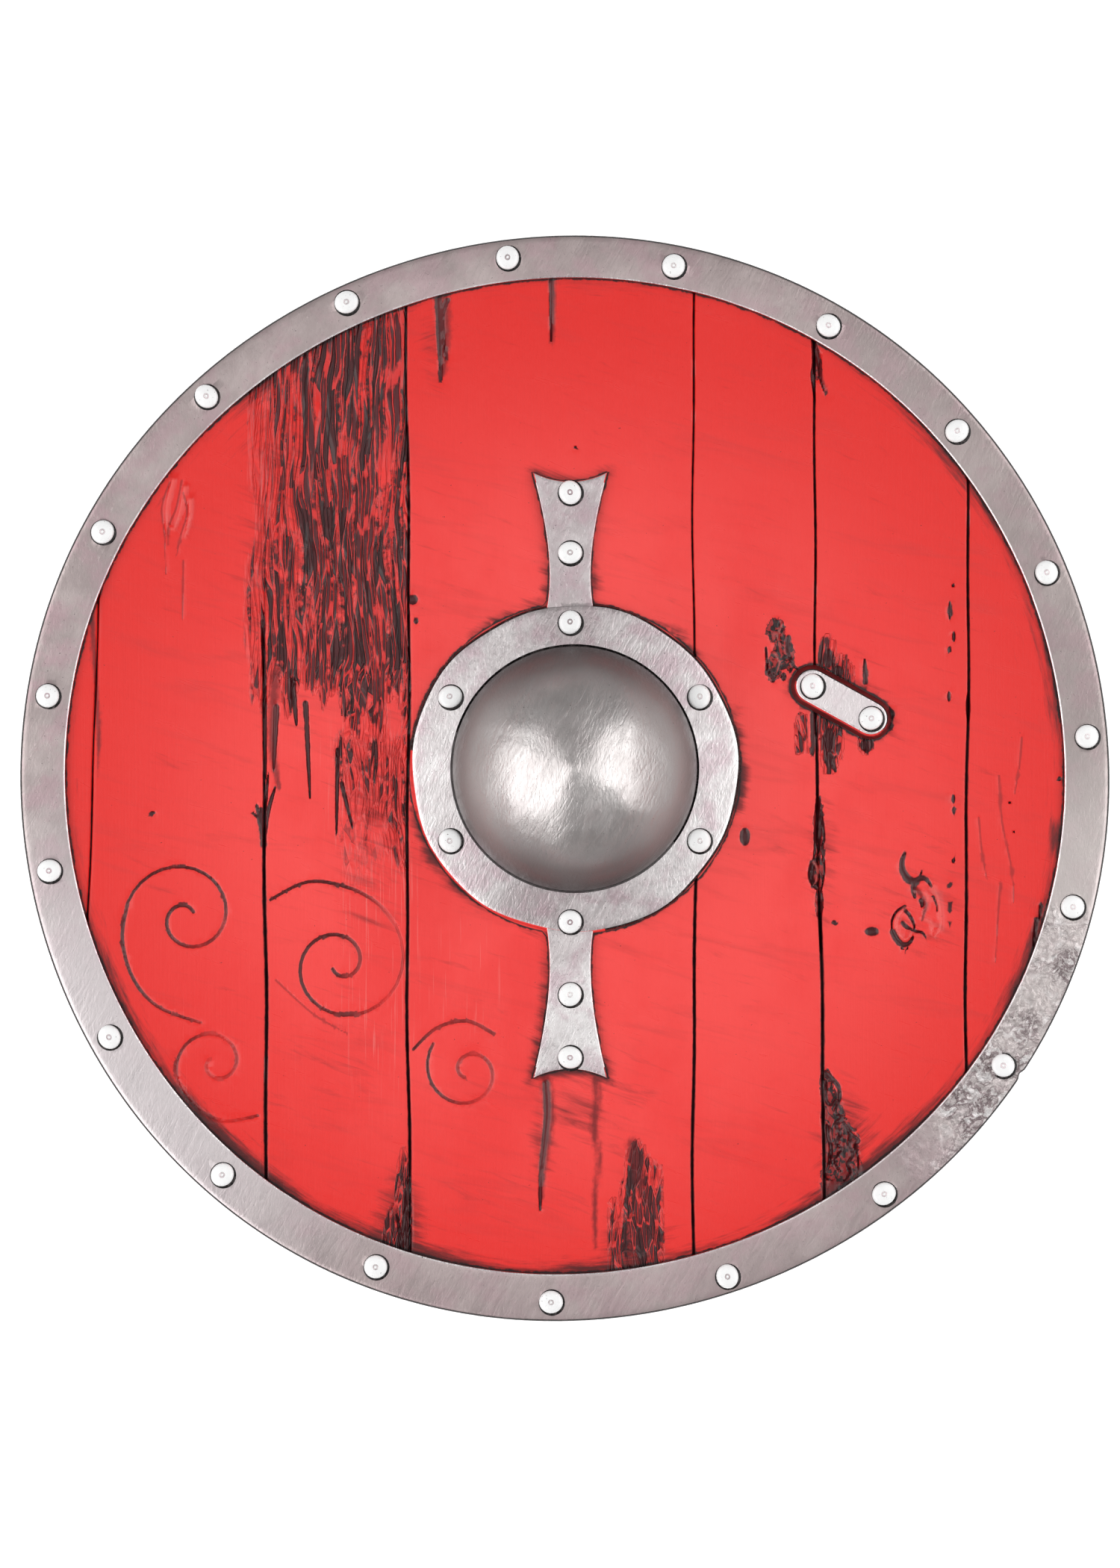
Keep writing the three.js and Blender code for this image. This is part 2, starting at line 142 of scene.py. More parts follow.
# Drips, splits and scratches that the black paint has run into
INK_STROKES = [
    ([(-71, 272), (-69.3, 222)], 2.0),
    ([(-66, 268), (-68.7, 258), (-66.6, 235)], 1.6),
    ([(-7.7, 280), (-7.7, 245)], 1.3),
    ([(-161.6, 40), (-163.2, 5)], 1.7),
    ([(-145.2, 42), (-142.8, -11)], 1.5),
    ([(-152.7, 55), (-150.4, 30)], 1.8),
    ([(-168.8, -37), (-169.8, -26), (-172.8, -15)], 2.0),
    ([(-168.6, -31), (-166.3, -18), (-162.3, -5)], 1.6),
    ([(-168.4, -22), (-167.4, -10), (-166.2, 2)], 1.2),
    ([(-170.6, -22), (-173.4, -21), (-175, -18.6)], 0.9),
    ([(-88.6, -268), (-89.2, -245), (-88.2, -224)], 1.8),
    ([(-93, -272), (-92.2, -258), (-94.4, -244)], 1.6),
    ([(-169.5, 88), (-168.0, 40), (-167.6, 0)], 1.2),
    ([(-127.3, 16), (-128, -31)], 1.3),
    ([(-125, -3), (-119, -28)], 1.3),
    ([(139.5, 36), (138.9, 13)], 1.9),
    ([(168.5, 54), (168, 67)], 1.6),
    ([(-10.7, -171), (-9.9, -186), (-11, -200), (-13.4, -222), (-13.8, -242)], 2.0),
    ([(196.2, -58), (192, -56.2), (189.2, -51), (189.0, -46.5), (190.7, -41.6)], 2.3),
    ([(195.3, -57.7), (200, -55.8), (203.2, -57.2), (205.6, -61)], 1.7),
    ([(198.6, -55.8), (200.2, -51.9)], 0.8),
    ([(196.2, -58.2), (195.3, -62.3), (196.2, -67)], 1.8),
    ([(199.5, -68.4), (200.4, -70.7), (199.8, -72.1)], 1.3),
    ([(206.5, -66), (208.2, -70.7), (208.6, -74.5)], 0.7),
    ([(190.6, -71.7), (186, -74.5), (183.4, -79.6), (183.4, -85.6)], 0.85),
    ([(183.8, -86.1), (186, -90.3), (189.2, -93.1), (193, -92.2), (195.1, -88.9)], 1.9),
    ([(189.2, -81), (191.6, -83.3), (195.3, -85.2)], 1.4),
    ([(190.6, -74), (193.4, -77.3), (195.3, -81), (196.2, -84.7)], 1.1),
    ([(188.8, -95.4), (190.6, -97.3), (192.5, -94.5)], 0.8),
    ([(196.2, -85.6), (200.4, -86.6), (202.3, -89.4)], 0.9),
    ([(112.7, 73), (113.7, 61.6), (116.3, 55.3)], 0.8),
    ([(125.2, 79), (125.2, 71), (127.8, 63.7), (131, 61)], 1.4),
    ([(148, 14), (150, 8), (151.8, 4)], 1.9),
    ([(142.2, -11.5), (141.8, -20), (141.1, -30.7), (140.3, -39), (139.1, -47.5)], 1.4),
    ([(139.1, -47.5), (137.9, -54), (138.9, -59), (141.2, -62)], 1.9),
    ([(143.5, -18), (145.2, -33), (144.3, -39), (145.4, -52), (143.3, -65)], 0.9),
    ([(142.9, -22), (143.1, -30), (142.2, -42)], 1.3),
    ([(143.3, -65), (143.0, -78), (143.4, -98)], 1.4),
    ([(145.6, -165), (149.3, -168), (153.4, -173), (153.9, -180), (151.9, -187), (158, -191)], 1.4),
    ([(146, -170), (146.4, -180), (149, -183), (151.9, -180)], 1.3),
    ([(156, -193), (160.2, -199), (164.6, -203), (162.7, -206), (164.4, -213), (164, -222)], 1.2),
    ([(146.8, -195), (147.7, -201), (149.3, -208), (148.1, -216), (146, -223.7), (150.2, -225.4)], 1.2),
    ([(155, -191), (151.9, -194.5), (154.4, -199.5), (151.9, -204.5), (155.2, -208), (151, -214.5),
      (154.4, -220)], 1.2),
    ([(160.2, -200), (159.4, -206), (161.5, -211), (158.5, -216), (160.2, -221), (156, -227)], 1.2),
    ([(139.4, 246), (139.6, 233), (138.6, 225), (140.2, 212)], 1.3),
    ([(140.5, 243), (142.4, 232), (143.6, 222), (147, 213.5)], 1.0),
    ([(266.9, -70), (266, -79)], 1.0),
    ([(264.4, -79), (262.6, -94)], 1.3),
]
# Where the joint is torn open its black line breaks off
TORN_JOINT = (142, -38, 7, 21)
# Raised curls of the knot, and of the faint figure of the grain high on the left
RIDGES = [
    ([(205.6, -61), (208.4, -67), (210.2, -78.2), (209.8, -84.7), (205.6, -90.3)], 1.5),
    ([(196.2, -63.3), (201.8, -65.1), (202.3, -70.7), (200.4, -76.3)], 1.4),
    ([(200, -78.2), (205.6, -81.9), (204.6, -87.5)], 1.3),
    ([(190.6, -72.6), (187, -76.3), (185.5, -81.9), (187, -87.5), (190.6, -90.3), (194.4, -87.5)], 1.3),
    ([(139.4, -47), (141.6, -51), (141.0, -57), (139.2, -60)], 1.0),
    ([(121.5, 86), (119.2, 79), (122.2, 73)], 1.0),
    ([(117.0, 70), (120.2, 65), (118.0, 58)], 1.0),
    ([(-219, 167), (-222.5, 152), (-223, 137)], 1.5),
    ([(-212.5, 163), (-215, 150), (-219.5, 138)], 1.4),
    ([(-209.5, 156), (-210, 146), (-213.5, 132)], 1.3),
]
INK_SPOTS = [
    (100.9, -32.8, 2.8, 5.2),
    (171.9, -85.8, 4.0, 2.6),
    (151.0, -81.0, 1.7, 1.7),
    (6.0, 185.4, 1.1, 1.1),
    (-85.0, 100.2, 2.8, 3.0),
    (-83.4, 88.0, 1.5, 1.5),
    (168.0, 18.5, 2.6, 3.4),
    (182.4, 36.0, 2.6, 3.4),
    (182.0, 29.0, 2.0, 2.6),
    (116.9, 56.4, 1.3, 3.1),
    (122.6, 57.0, 1.6, 2.6),
    (148.0, 22.0, 3.4, 7.0),
    (147.5, 67.0, 2.6, 6.0),
    (153.0, 60.0, 3.6, 3.6),
    (-231.0, -19.5, 1.8, 1.2),
    (-170.0, -22.0, 2.6, 5.6),
    (226.0, 40.0, 1.3, 8.0),
    (277.2, -0.3, 1.3, 1.4),
    (249.2, -13.6, 0.9, 0.9),
    (251.9, -30.0, 0.8, 0.8),
]
# A row of short punched dashes beside the last joint: height and half-length of each
DASH_X = 216.5
DASHES = [
    (108, 1.2), (94, 5.4), (79.5, 3.2), (72, 2.2), (46, 3.2), (-11.5, 3.0), (-18, 2.4),
    (-46, 1.8), (-60, 2.2), (-72.5, 3.4), (-83, 2.0),
]
INK_SPOTS += [(DASH_X + 1.6 * math.sin(2 * y), y, 1.05, half) for y, half in DASHES]

# Rough torn places with wormy hollows, mostly round the patch and along one joint
SWIRL_SPOTS = [
    (118.6, 82, 5.4, 8.0), (120.6, 69, 5.2, 9.0), (117.0, 61, 4.6, 7.0), (126.0, 68, 2.8, 9.0),
    (142.0, -28, 2.6, 18.0), (141.0, -53, 4.2, 9.0), (142.6, -70, 2.4, 9.0),
    (146.5, -172, 3.6, 10.0), (150.0, -190, 6.5, 15.0), (155.0, -209, 10.0, 17.0), (156.0, -226, 12.5, 14.0),
    (141.6, 232, 2.6, 9.0),
]
# Thin runs of stain that soaked in without leaving a hollow
STAINS = [
    ([(17.7, -168), (18.2, -182), (16, -196), (19, -212), (17, -237), (17.8, -264)], 2.6),
    ([(-10.5, -170), (-8.5, -190), (-12, -215), (-13.5, -236)], 3.4),
    ([(-7.5, 280), (-6.5, 262), (-8, 240)], 2.2),
    ([(-69, 274), (-67, 250), (-68.5, 226)], 4.0),
    ([(-162, 60), (-164, 20), (-160, -6)], 3.2),
    ([(38, -205), (41, -222), (47, -240)], 4.0),
    ([(140.2, 244), (142.5, 230), (146, 216)], 1.8),
    ([(-266, 105), (-262, 40), (-260, -30)], 1.6),
    ([(197, -62), (202, -70), (200, -80)], 1.5),
]
# The worn plank's frayed end: its height, and how far it and the left edge stray
FRAY_END, FRAY_END_STRAY, FRAY_EDGE_STRAY = 44, 22, 9
# Torn fibres: middle and half-size of each bundle
FRAY_SPOTS = [
    (27.5, -261, 2.4, 20), (37.0, -256, 6.0, 27), (44.5, -250, 4.6, 29), (50.5, -248, 3.0, 26),
    (40.0, -226, 4.6, 17), (-90.6, -250, 3.6, 32), (-94.0, -262, 6.0, 18),
    (146.5, 66, 3.5, 11), (153.0, 60, 5.4, 6), (158.0, 56, 3.2, 4), (148.5, 20, 4.6, 13), (146.0, 28, 4.6, 7),
    (133.0, 25, 2.4, 9), (168.0, 20, 2.6, 5),
]
# Light scuffs: middle and half-size of each field
PALE_SPOTS = [(-104, -95, 24, 85), (-112, -5, 26, 45), (-160, 175, 14, 60), (-56, -112, 22, 30)]

# Scored lines cut with a knife: each scroll is a spiral that unwinds into a tail.
# Its middle, start angle, turns, inner and outer reach
SCROLLS = [
    (-212, -78, 40, 1.35, 5, 34),
    (-126, -104, 215, 1.5, 5, 38),
    (-196, -160, 150, 1.2, 4, 24),
    (-54, -164, 250, -1.3, 4, 25),
]
SCROLL_TAILS = [
    [(-245, -70), (-248, -90), (-242, -112), (-228, -128), (-204, -137)],
    [(-95, -82), (-105, -70), (-122, -61), (-144, -58), (-165, -68)],
    [(-214, -176), (-205, -186), (-190, -192), (-172, -189)],
    [(-40, -143), (-55, -136), (-72, -140), (-85, -152)],
]
SCROLL_STEPS = 40
SCORE_HALF_WIDTH = 1.05
FAINT_HALF_WIDTH = 0.8
# Faint wavy cuts high on the left plank, and hair cracks on the right one
FAINT_CUTS = [
    [(-221.3, 166), (-225.8, 152), (-224.3, 136), (-223.5, 110)],
    [(-214.6, 167), (-217.6, 152), (-222, 141), (-222.8, 130)],
    [(-213.8, 160), (-211.6, 149), (-215.3, 136), (-217.6, 124)],
    [(-213.8, 122), (-214.3, 89)],
    [(232, -22), (233.6, -40), (236.8, -58)],
    [(243.3, 2), (245, -24), (250.6, -52), (251.6, -70)],
    [(244.2, -57), (242.7, -78), (241.3, -104)],
    [(256.1, 23), (254.6, 6), (251.9, -9)],
    [(-162, -113), (-141, -132), (-122, -143)],
]
INK_DEPTH, SCORE_DEPTH, FAINT_DEPTH, RIDGE_HEIGHT = 1.2, 0.9, 0.35, 1.1


def scroll_points(x, y, start, turns, inner, outer):
    """A spiral round (x, y) from a start angle, given its turns and its inner and outer reach."""
    points = []
    for number in range(SCROLL_STEPS + 1):
        share = number / SCROLL_STEPS
        angle = math.radians(start + 360 * turns * share)
        reach = inner + (outer - inner) * share ** 1.3
        points.append((x + reach * math.cos(angle), y + reach * math.sin(angle)))
    return points


def ink_cover(x, y):
    return np.maximum(strokes_cover(x, y, INK_STROKES), spots_cover(x, y, INK_SPOTS))


def swirl_cover(x, y):
    return spots_cover(x, y, SWIRL_SPOTS)


def fray_cover(x, y):
    """The worn plank is frayed from the rim down to a ragged end above the middle."""
    left, right = joint_x(WORN_PLANK, y), joint_x(WORN_PLANK + 1, y)
    lean = FRAY_EDGE_STRAY * ruffle(x, y, 30, 34, 2.2)
    end = FRAY_END + FRAY_END_STRAY * ruffle(x, y, 9, 400, 5.5) + 9 * ruffle(x, y, 3, 400, 1.4)
    inside = ease(x + lean, left - 15, left + 20) * ease(right - x, -1.5, 1.0)
    heavy = 0.55 + 0.16 * ease(x, -158, -136) + 0.10 * ease(-y, -170, -110)
    heavy = heavy + 0.06 * ease(-abs(x + 122), -30, -8)
    body = inside * heavy * ease(y, end - 9, end + 5)
    below = 0.33 * ease(x + lean, -132, -108) * ease(right - x, -1, 2)
    below = below * ease(y, -78, -20) * ease(-y, -50, -25)
    below = below * (0.6 + 0.9 * ruffle(x, y, 14, 30, 9.6))
    bundles = [0.85 * np.minimum(1.6 * spot_cover(x, y, spot), 1) for spot in FRAY_SPOTS]
    return most([body, below] + bundles)


def score_cover(x, y):
    lines = [scroll_points(*s) for s in SCROLLS] + [curve(tail) for tail in SCROLL_TAILS]
    return most([stroke_cover(x, y, points, SCORE_HALF_WIDTH, 0.2) for points in lines])


def faint_cover(x, y):
    return most([stroke_cover(x, y, curve(points), FAINT_HALF_WIDTH, 0.5) for points in FAINT_CUTS])


def ridge_cover(x, y):
    return strokes_cover(x, y, RIDGES)


def fine_marks(x, y):
    return most([ink_cover(x, y), score_cover(x, y), faint_cover(x, y), ridge_cover(x, y)])


def all_marks(x, y):
    return np.maximum(fine_marks(x, y), swirl_cover(x, y))


def face_relief(x, y):
    """How far the face stands above or below its mean level."""
    joint = np.maximum(1 - joint_gap(x, y) / JOINT_HALF_WIDTH, 0)
    joint = joint * (1 - 0.8 * ease(y, 60, 130) * (x < -140) * (x > -200))
    joint = joint * (0.8 + 0.4 * ruffle(x, y, 9, 14, 3.1))
    uneven = 0.22 * ruffle(x, y, 46, 90, 1.7) + 0.06 * ruffle(x, y, 7, 22, 5.2)
    fibres = ruffle(x, y, 4.2, 60, 8.8) + 0.6 * ruffle(x, y, 2.1, 34, 2.6)
    fray = fray_cover(x, y) * (0.75 + 0.9 * np.abs(fibres))
    worms = np.abs(ruffle(x, y, 4.5, 6.5, 6.4))
    swirl = ease(swirl_cover(x, y), 0.35, 0.75) * (1.5 - 2.6 * worms)
    cuts = INK_DEPTH * ease(ink_cover(x, y), 0.3, 0.9)
    cuts = cuts - RIDGE_HEIGHT * ease(ridge_cover(x, y), 0.05, 0.95)
    scores = SCORE_DEPTH * ease(score_cover(x, y), 0.3, 0.95)
    scores = scores + FAINT_DEPTH * ease(faint_cover(x, y), 0.2, 0.95)
    return uneven - JOINT_DEPTH * joint - fray - swirl - cuts - scores


columns = []
for plank in range(len(JOINTS) + 1):
    spread = FINE_COLUMN if plank == WORN_PLANK else COARSE_COLUMN
    margin = JOINT_COLUMNS[-1]
    wide = joint_x(plank + 1, 0) - joint_x(plank, 0) - 2 * margin
    steps = round(wide / spread)
    columns += [(plank, 0, push) for push in (0,) + JOINT_COLUMNS]
    columns += [(plank, s / steps, margin * (1 - 2 * s / steps)) for s in range(1, steps)]
    columns += [(plank, 1, -push) for push in reversed(JOINT_COLUMNS)]
columns.append((len(JOINTS), 1, 0))

planks = bmesh.new()
bmesh.ops.create_grid(planks, x_segments=len(columns) - 1, y_segments=FACE_ROWS - 1, size=1)
for vert in planks.verts:
    plank, share, push = columns[round((vert.co.x + 1) / 2 * (len(columns) - 1))]
    y = vert.co.y * FACE_REACH
    left, right = joint_x(plank, y), joint_x(plank + 1, y)
    vert.co = (left + share * (right - left) + push, y, FACE_Z)
outside = [f for f in planks.faces if max(v.co.xy.length for v in f.verts) > FACE_REACH]
bmesh.ops.delete(planks, geom=outside, context="FACES")


def refine(bm, cover, level):
    """Halves the mesh wherever a mark covers it."""
    faces = list(bm.faces)
    centres = np.array([f.calc_center_median() for f in faces])
    marked = cover(centres[:, 0], centres[:, 1]) > level
    edges = {edge for face, hit in zip(faces, marked) if hit for edge in face.edges}
    bmesh.ops.subdivide_edges(bm, edges=list(edges), cuts=1, use_grid_fill=True)


refine(planks, all_marks, 0.1)
refine(planks, fine_marks, 0.15)
face_verts = list(planks.verts)
places = np.array([v.co for v in face_verts])
for vert, lift in zip(face_verts, face_relief(places[:, 0], places[:, 1])):
    vert.co.z += lift


def close_below(bm, foot):
    """Walls a sheet down to the foot and closes it there; gives back the sheet's border."""
    border = [e for e in bm.edges if e.is_boundary]
    for item in bmesh.ops.extrude_edge_only(bm, edges=border)["geom"]:
        if isinstance(item, bmesh.types.BMVert):
            item.co.z = foot
    bmesh.ops.holes_fill(bm, edges=[e for e in bm.edges if e.is_boundary], sides=0)
    bmesh.ops.recalc_face_normals(bm, faces=bm.faces)
    return border


close_below(planks, FACE_FOOT)

# The material slots of the moulding, one for each of its paints
RED, SILVER, PLATE, DOME, NAIL, PEN, BACK = range(7)


def add(tree, kind, inputs=None, **settings):
    """Adds a shader node; inputs take a value or another node's output."""
    made = tree.nodes.new("ShaderNode" + kind)
    for name, value in settings.items():
        setattr(made, name, value)
    for socket, value in (inputs or {}).items():
        if isinstance(value, bpy.types.NodeSocket):
            tree.links.new(value, made.inputs[socket])
        else:
            made.inputs[socket].default_value = value
    return made


def object_place(tree):
    return add(tree, "TexCoord").outputs["Object"]


def axes(place):
    """The X, Y and Z of a place."""
    return add(place.id_data, "SeparateXYZ", {0: place}).outputs


def away_from(place, middle=(0, 0, 0)):
    """Distance of a place from a point."""
    made = add(place.id_data, "VectorMath", {0: place, 1: middle}, operation="DISTANCE")
    return made.outputs["Value"]


def grain(place, size, detail=3.0, roughness=0.55, distortion=0.0, turn=0.0):
    """Noise whose features measure the given millimetres along X, Y and Z, turned about Z."""
    tree = place.id_data
    aligned = add(tree, "VectorRotate", {"Vector": place, "Angle": math.radians(turn)})
    scale = [1000 / s for s in size]
    turned = add(tree, "Mapping", {"Vector": aligned.outputs[0], "Scale": scale})
    made = add(tree, "TexNoise", {
        "Vector": turned.outputs[0], "Scale": 1.0, "Detail": detail,
        "Roughness": roughness, "Distortion": distortion,
    })
    return made.outputs["Fac"]


def calc(operation, a, b=0.0, c=0.0):
    """Arithmetic, done in the node tree of its first value."""
    return add(a.id_data, "Math", {0: a, 1: b, 2: c}, operation=operation).outputs[0]


def times(a, b):
    return calc("MULTIPLY", a, b)


def plus(a, b):
    return calc("ADD", a, b)


def off_middle(value, middle=0.5):
    """Distance of a value from its middle."""
    return calc("ABSOLUTE", calc("SUBTRACT", value, middle))


def rough(value, ragged, amount):
    """A field with its edge made ragged by a noise value."""
    return calc("MULTIPLY_ADD", calc("SUBTRACT", ragged, 0.5), amount, value)


def step(value, low, high, top=1.0):
    """0 where value is at low and top where it is at high, smooth between."""
    made = add(value.id_data, "MapRange", {"Value": value, "From Min": low, "From Max": high, "To Max": top},
               interpolation_type="SMOOTHSTEP")
    return made.outputs[0]


def blend(factor, under, over):
    """One colour laid over another."""
    made = add(factor.id_data, "Mix", {0: factor, 6: under, 7: over}, data_type="RGBA")
    return made.outputs[2]


def mix(factor, a, b):
    """A value that goes from a to b."""
    return add(factor.id_data, "Mix", {0: factor, 2: a, 3: b}).outputs[0]


def field(tree, name):
    """A value measured on the mesh and kept as an attribute."""
    return add(tree, "Attribute", attribute_name=name).outputs["Fac"]


def new_paint(name, **constants):
    """A material with its Principled shader, whose constant values are set on the sockets."""
    paint = bpy.data.materials.new(name)
    paint.use_nodes = True
    shader = paint.node_tree.nodes["Principled BSDF"]
    for socket, value in constants.items():
        shader.inputs[socket.replace("_", " ")].default_value = value
    return paint, paint.node_tree, shader


def feed(shader, **values):
    """Links values to the shader's sockets."""
    for socket, value in values.items():
        shader.id_data.links.new(value, shader.inputs[socket.replace("_", " ")])


def bump(shader, height, distance):
    """Fine relief, of a distance in metres."""
    feed(shader, Normal=add(shader.id_data, "Bump", {"Height": height, "Distance": distance}).outputs[0])


RED_DEEP = (0.86, 0.040, 0.036, 1)
RED_BRIGHT = (0.93, 0.066, 0.060, 1)
RED_BY_RIM = (0.75, 0.014, 0.009, 1)
RED_PALE = (0.90, 0.20, 0.18, 1)
RED_DIRTY = (0.52, 0.030, 0.029, 1)
DARK_RED = (0.135, 0.008, 0.010, 1)
MAROON = (0.060, 0.007, 0.008, 1)
CHARCOAL = (0.056, 0.004, 0.006, 1)
BLACK = (0.016, 0.003, 0.004, 1)
STAINED = (0.092, 0.010, 0.014, 1)
RED_SLIVER = (0.66, 0.030, 0.028, 1)
BRIGHTEST_RED = (0.002, -0.028, 0.018)

red_paint, tree, shader = new_paint("red_plank_paint", Specular_IOR_Level=0.45)
place = object_place(tree)
cloud = grain(place, (70, 110, 60), 4, 0.6)
haze = grain(place, (75, 12, 40), 5, 0.62, 0.6, 14)
blot = grain(place, (5, 6, 5), 5, 0.62)
crumb = grain(place, (2.6, 4.2, 3), 4, 0.6)
brush = grain(place, (38, 5.5, 20), 5, 0.62, 0.5, 20)
worm = grain(place, (6, 9, 6), 3, 0.5, 0.8)
speck = grain(place, (1.6, 1.6, 1.6), 2, 0.5)
hair = grain(place, (0.9, 46, 30), 2, 0.5, 0.15)
fray, ink = field(tree, "fray"), field(tree, "ink")
swirl, score = field(tree, "swirl"), field(tree, "score")
joint, foot = field(tree, "joint"), field(tree, "foot")


def grain_colour(place, size):
    """Three unlike noises as one vector, with features of the given millimetres."""
    tree = place.id_data
    turned = add(tree, "Mapping", {"Vector": place, "Scale": [1000 / s for s in size]})
    made = add(tree, "TexNoise", {"Vector": turned.outputs[0], "Scale": 1.0, "Detail": 2.0})
    return made.outputs["Color"]


def split_wood(place, wide, long):
    """Long split strips: two numbers of each strip's own, and the distance from its edge."""
    tree = place.id_data
    cells = add(tree, "Mapping", {"Vector": place, "Scale": (1000 / wide, 1000 / long, 1)}).outputs[0]
    strips = add(tree, "TexVoronoi", {"Vector": cells, "Scale": 1.0}, voronoi_dimensions="2D")
    edges = add(tree, "TexVoronoi", {"Vector": cells, "Scale": 1.0}, voronoi_dimensions="2D",
                feature="DISTANCE_TO_EDGE")
    own = add(tree, "SeparateColor", {0: strips.outputs["Color"]}).outputs
    return own[0], own[1], edges.outputs["Distance"]


colour = blend(step(cloud, 0.32, 0.68), RED_DEEP, RED_BRIGHT)
outward = rough(away_from(place, BRIGHTEST_RED), cloud, 0.10)
colour = blend(step(outward, 0.145, 0.295, 0.85), colour, RED_BY_RIM)
colour = blend(step(haze, 0.50, 0.80, 0.36), colour, RED_DIRTY)
scuffs = times(step(hair, 0.60, 0.70), step(field(tree, "pale"), 0.2, 0.9))
colour = blend(times(scuffs, 0.5), colour, RED_PALE)
# Black paint wiped back: it lingers by the rim and round the plates
spot = axes(place)
round_rim = times(calc("ARCTAN2", spot["Y"], spot["X"]), 0.28)
from_middle = away_from(place)
ring = add(tree, "CombineXYZ", {0: round_rim, 1: from_middle}).outputs[0]
wipe = mix(step(from_middle, 0.245, 0.262), brush, grain(ring, (26, 3, 5), 5, 0.66))
wiped = rough(field(tree, "smudge"), wipe, 1.5)
colour = blend(step(wiped, 0.12, 0.75, 0.75), colour, DARK_RED)
colour = blend(step(wiped, 0.40, 0.95, 0.85), colour, MAROON)
# Frayed plank: long split strips, charcoal or red, with cracks or red slivers between them
swayed = place
for size, amount in (((34, 95, 30), (0.020, 0.020, 0)), ((5, 16, 9), (0.0014, 0.003, 0))):
    sway = {0: grain_colour(place, size), 1: amount, 2: swayed}
    swayed = add(tree, "VectorMath", sway, operation="MULTIPLY_ADD").outputs[0]
strip, other, gap = split_wood(swayed, 2.5, 46)
for height, wide, long in ((0.158, 2.1, 25), (0.044, 2.0, 12)):
    shorter = split_wood(swayed, wide, long)
    share = step(rough(spot["Y"], other, 0.05), height + 0.001, height - 0.001)
    strip, other, gap = [mix(share, above, under) for above, under in zip((strip, other, gap), shorter)]
frayed = step(fray, 0.03, 0.12)
soaked = rough(rough(calc("SUBTRACT", fray, strip), blot, 0.9), crumb, 0.7)
dark = times(step(soaked, -0.03, 0.06), frayed)
half_soaked = times(step(soaked, -0.18, 0.02, 0.65), frayed)
colour = blend(half_soaked, colour, DARK_RED)
core = times(step(gap, 0.10, 0.28), step(other, 0.3, 0.6))
colour = blend(dark, colour, blend(core, CHARCOAL, STAINED))
sliver = times(step(rough(gap, crumb, 0.25), 0.17, 0.07), step(other, 0.42, 0.50))
colour = blend(times(sliver, frayed), colour, RED_SLIVER)
crack = times(step(rough(gap, crumb, 0.3), 0.12, 0.04, 0.9), step(other, 0.50, 0.42))
colour = blend(times(crack, half_soaked), colour, BLACK)
lines = rough(grain(swayed, (1.2, 60, 30), 2, 0.5), crumb, 0.2)
split = times(step(lines, 0.60, 0.65, 0.9), step(fray, 0.10, 0.35))
colour = blend(split, colour, BLACK)
fibre = times(step(lines, 0.38, 0.32, 0.75), dark)
colour = blend(fibre, colour, RED_SLIVER)
# Torn places, drips and cuts
torn = rough(rough(swirl, blot, 1.0), crumb, 0.9)
colour = blend(step(torn, 0.44, 0.54, 0.7), colour, DARK_RED)
colour = blend(step(off_middle(torn, 0.54), 0.08, 0.03, 0.8), colour, CHARCOAL)
wormed = times(step(torn, 0.52, 0.62), step(off_middle(worm), 0.07, 0.03))
colour = blend(wormed, colour, BLACK)
edge = rough(rough(ink, blot, 0.4), crumb, 0.4)
colour = blend(step(edge, 0.38, 0.56, 0.8), colour, DARK_RED)
colour = blend(step(edge, 0.50, 0.62), colour, CHARCOAL)
scored = step(rough(score, speck, 0.3), 0.40, 0.60)
colour = blend(times(scored, step(cloud, 0.25, 0.55, 0.95)), colour, MAROON)
# The crests of the raised curls are painted paler pink, as a painted highlight.
colour = blend(step(field(tree, "ridge"), 0.40, 0.95, 0.34), colour, RED_PALE)
faint = rough(field(tree, "faint"), blot, 0.5)
colour = blend(step(faint, 0.40, 0.8, 0.5), colour, DARK_RED)
stain = rough(field(tree, "stain"), crumb, 0.7)
colour = blend(step(stain, 0.25, 0.9, 0.8), colour, DARK_RED)
# Black lines along the joints, round the plates and at the foot of the rim
colour = blend(step(rough(joint, blot, 1.4), 1.9, 0.9, 0.9), colour, DARK_RED)
broken = rough(rough(joint, blot, 1.2), crumb, 1.2)
colour = blend(step(broken, 1.25, 0.65), colour, BLACK)
pooled = times(step(rough(foot, blot, 3.4), 1.4, 0.4), step(foot, -0.3, 0.2))
colour = blend(pooled, colour, BLACK)
pits = times(step(speck, 0.735, 0.765), step(blot, 0.5, 0.62))
colour = blend(pits, colour, DARK_RED)
feed(shader, Base_Color=colour, Roughness=plus(step(brush, 0.3, 0.7, 0.12), 0.27))
skin = times(times(step(gap, 0.0, 0.3), frayed), 0.8)
skin = plus(plus(skin, times(blot, 0.16)), times(hair, 0.10))
bump(shader, skin, 0.0011)

# Rim band and back board. The same foam: a flat board with a raised band round its edge,
# trimmed by hand, its band brushed with silver over the red. The lower right came out of the
# mould blistered, and a nick is missing from the edge there.
RIM_TOP = FACE_Z + 3.5
BOARD_TOP = 12.0
RIM_STEPS = 500
RIM_EDGE_ROUND, BORE_EDGE_ROUND = 3.0, 0.9
# The edge out of round: waves in a turn, height and the angle of a peak
OUTLINE_WAVES = [(2, 1.2, 65), (4, 0.9, -113)]
BLISTER_FROM, BLISTER_TO = -50.0, -13.0
BLISTER_CROWDING = 0.62
BLISTER_HEIGHT, BLISTER_SINK = 3.4, 1.3
NICK_ANGLE = -33.0
NICK_DEPTH = 1.3


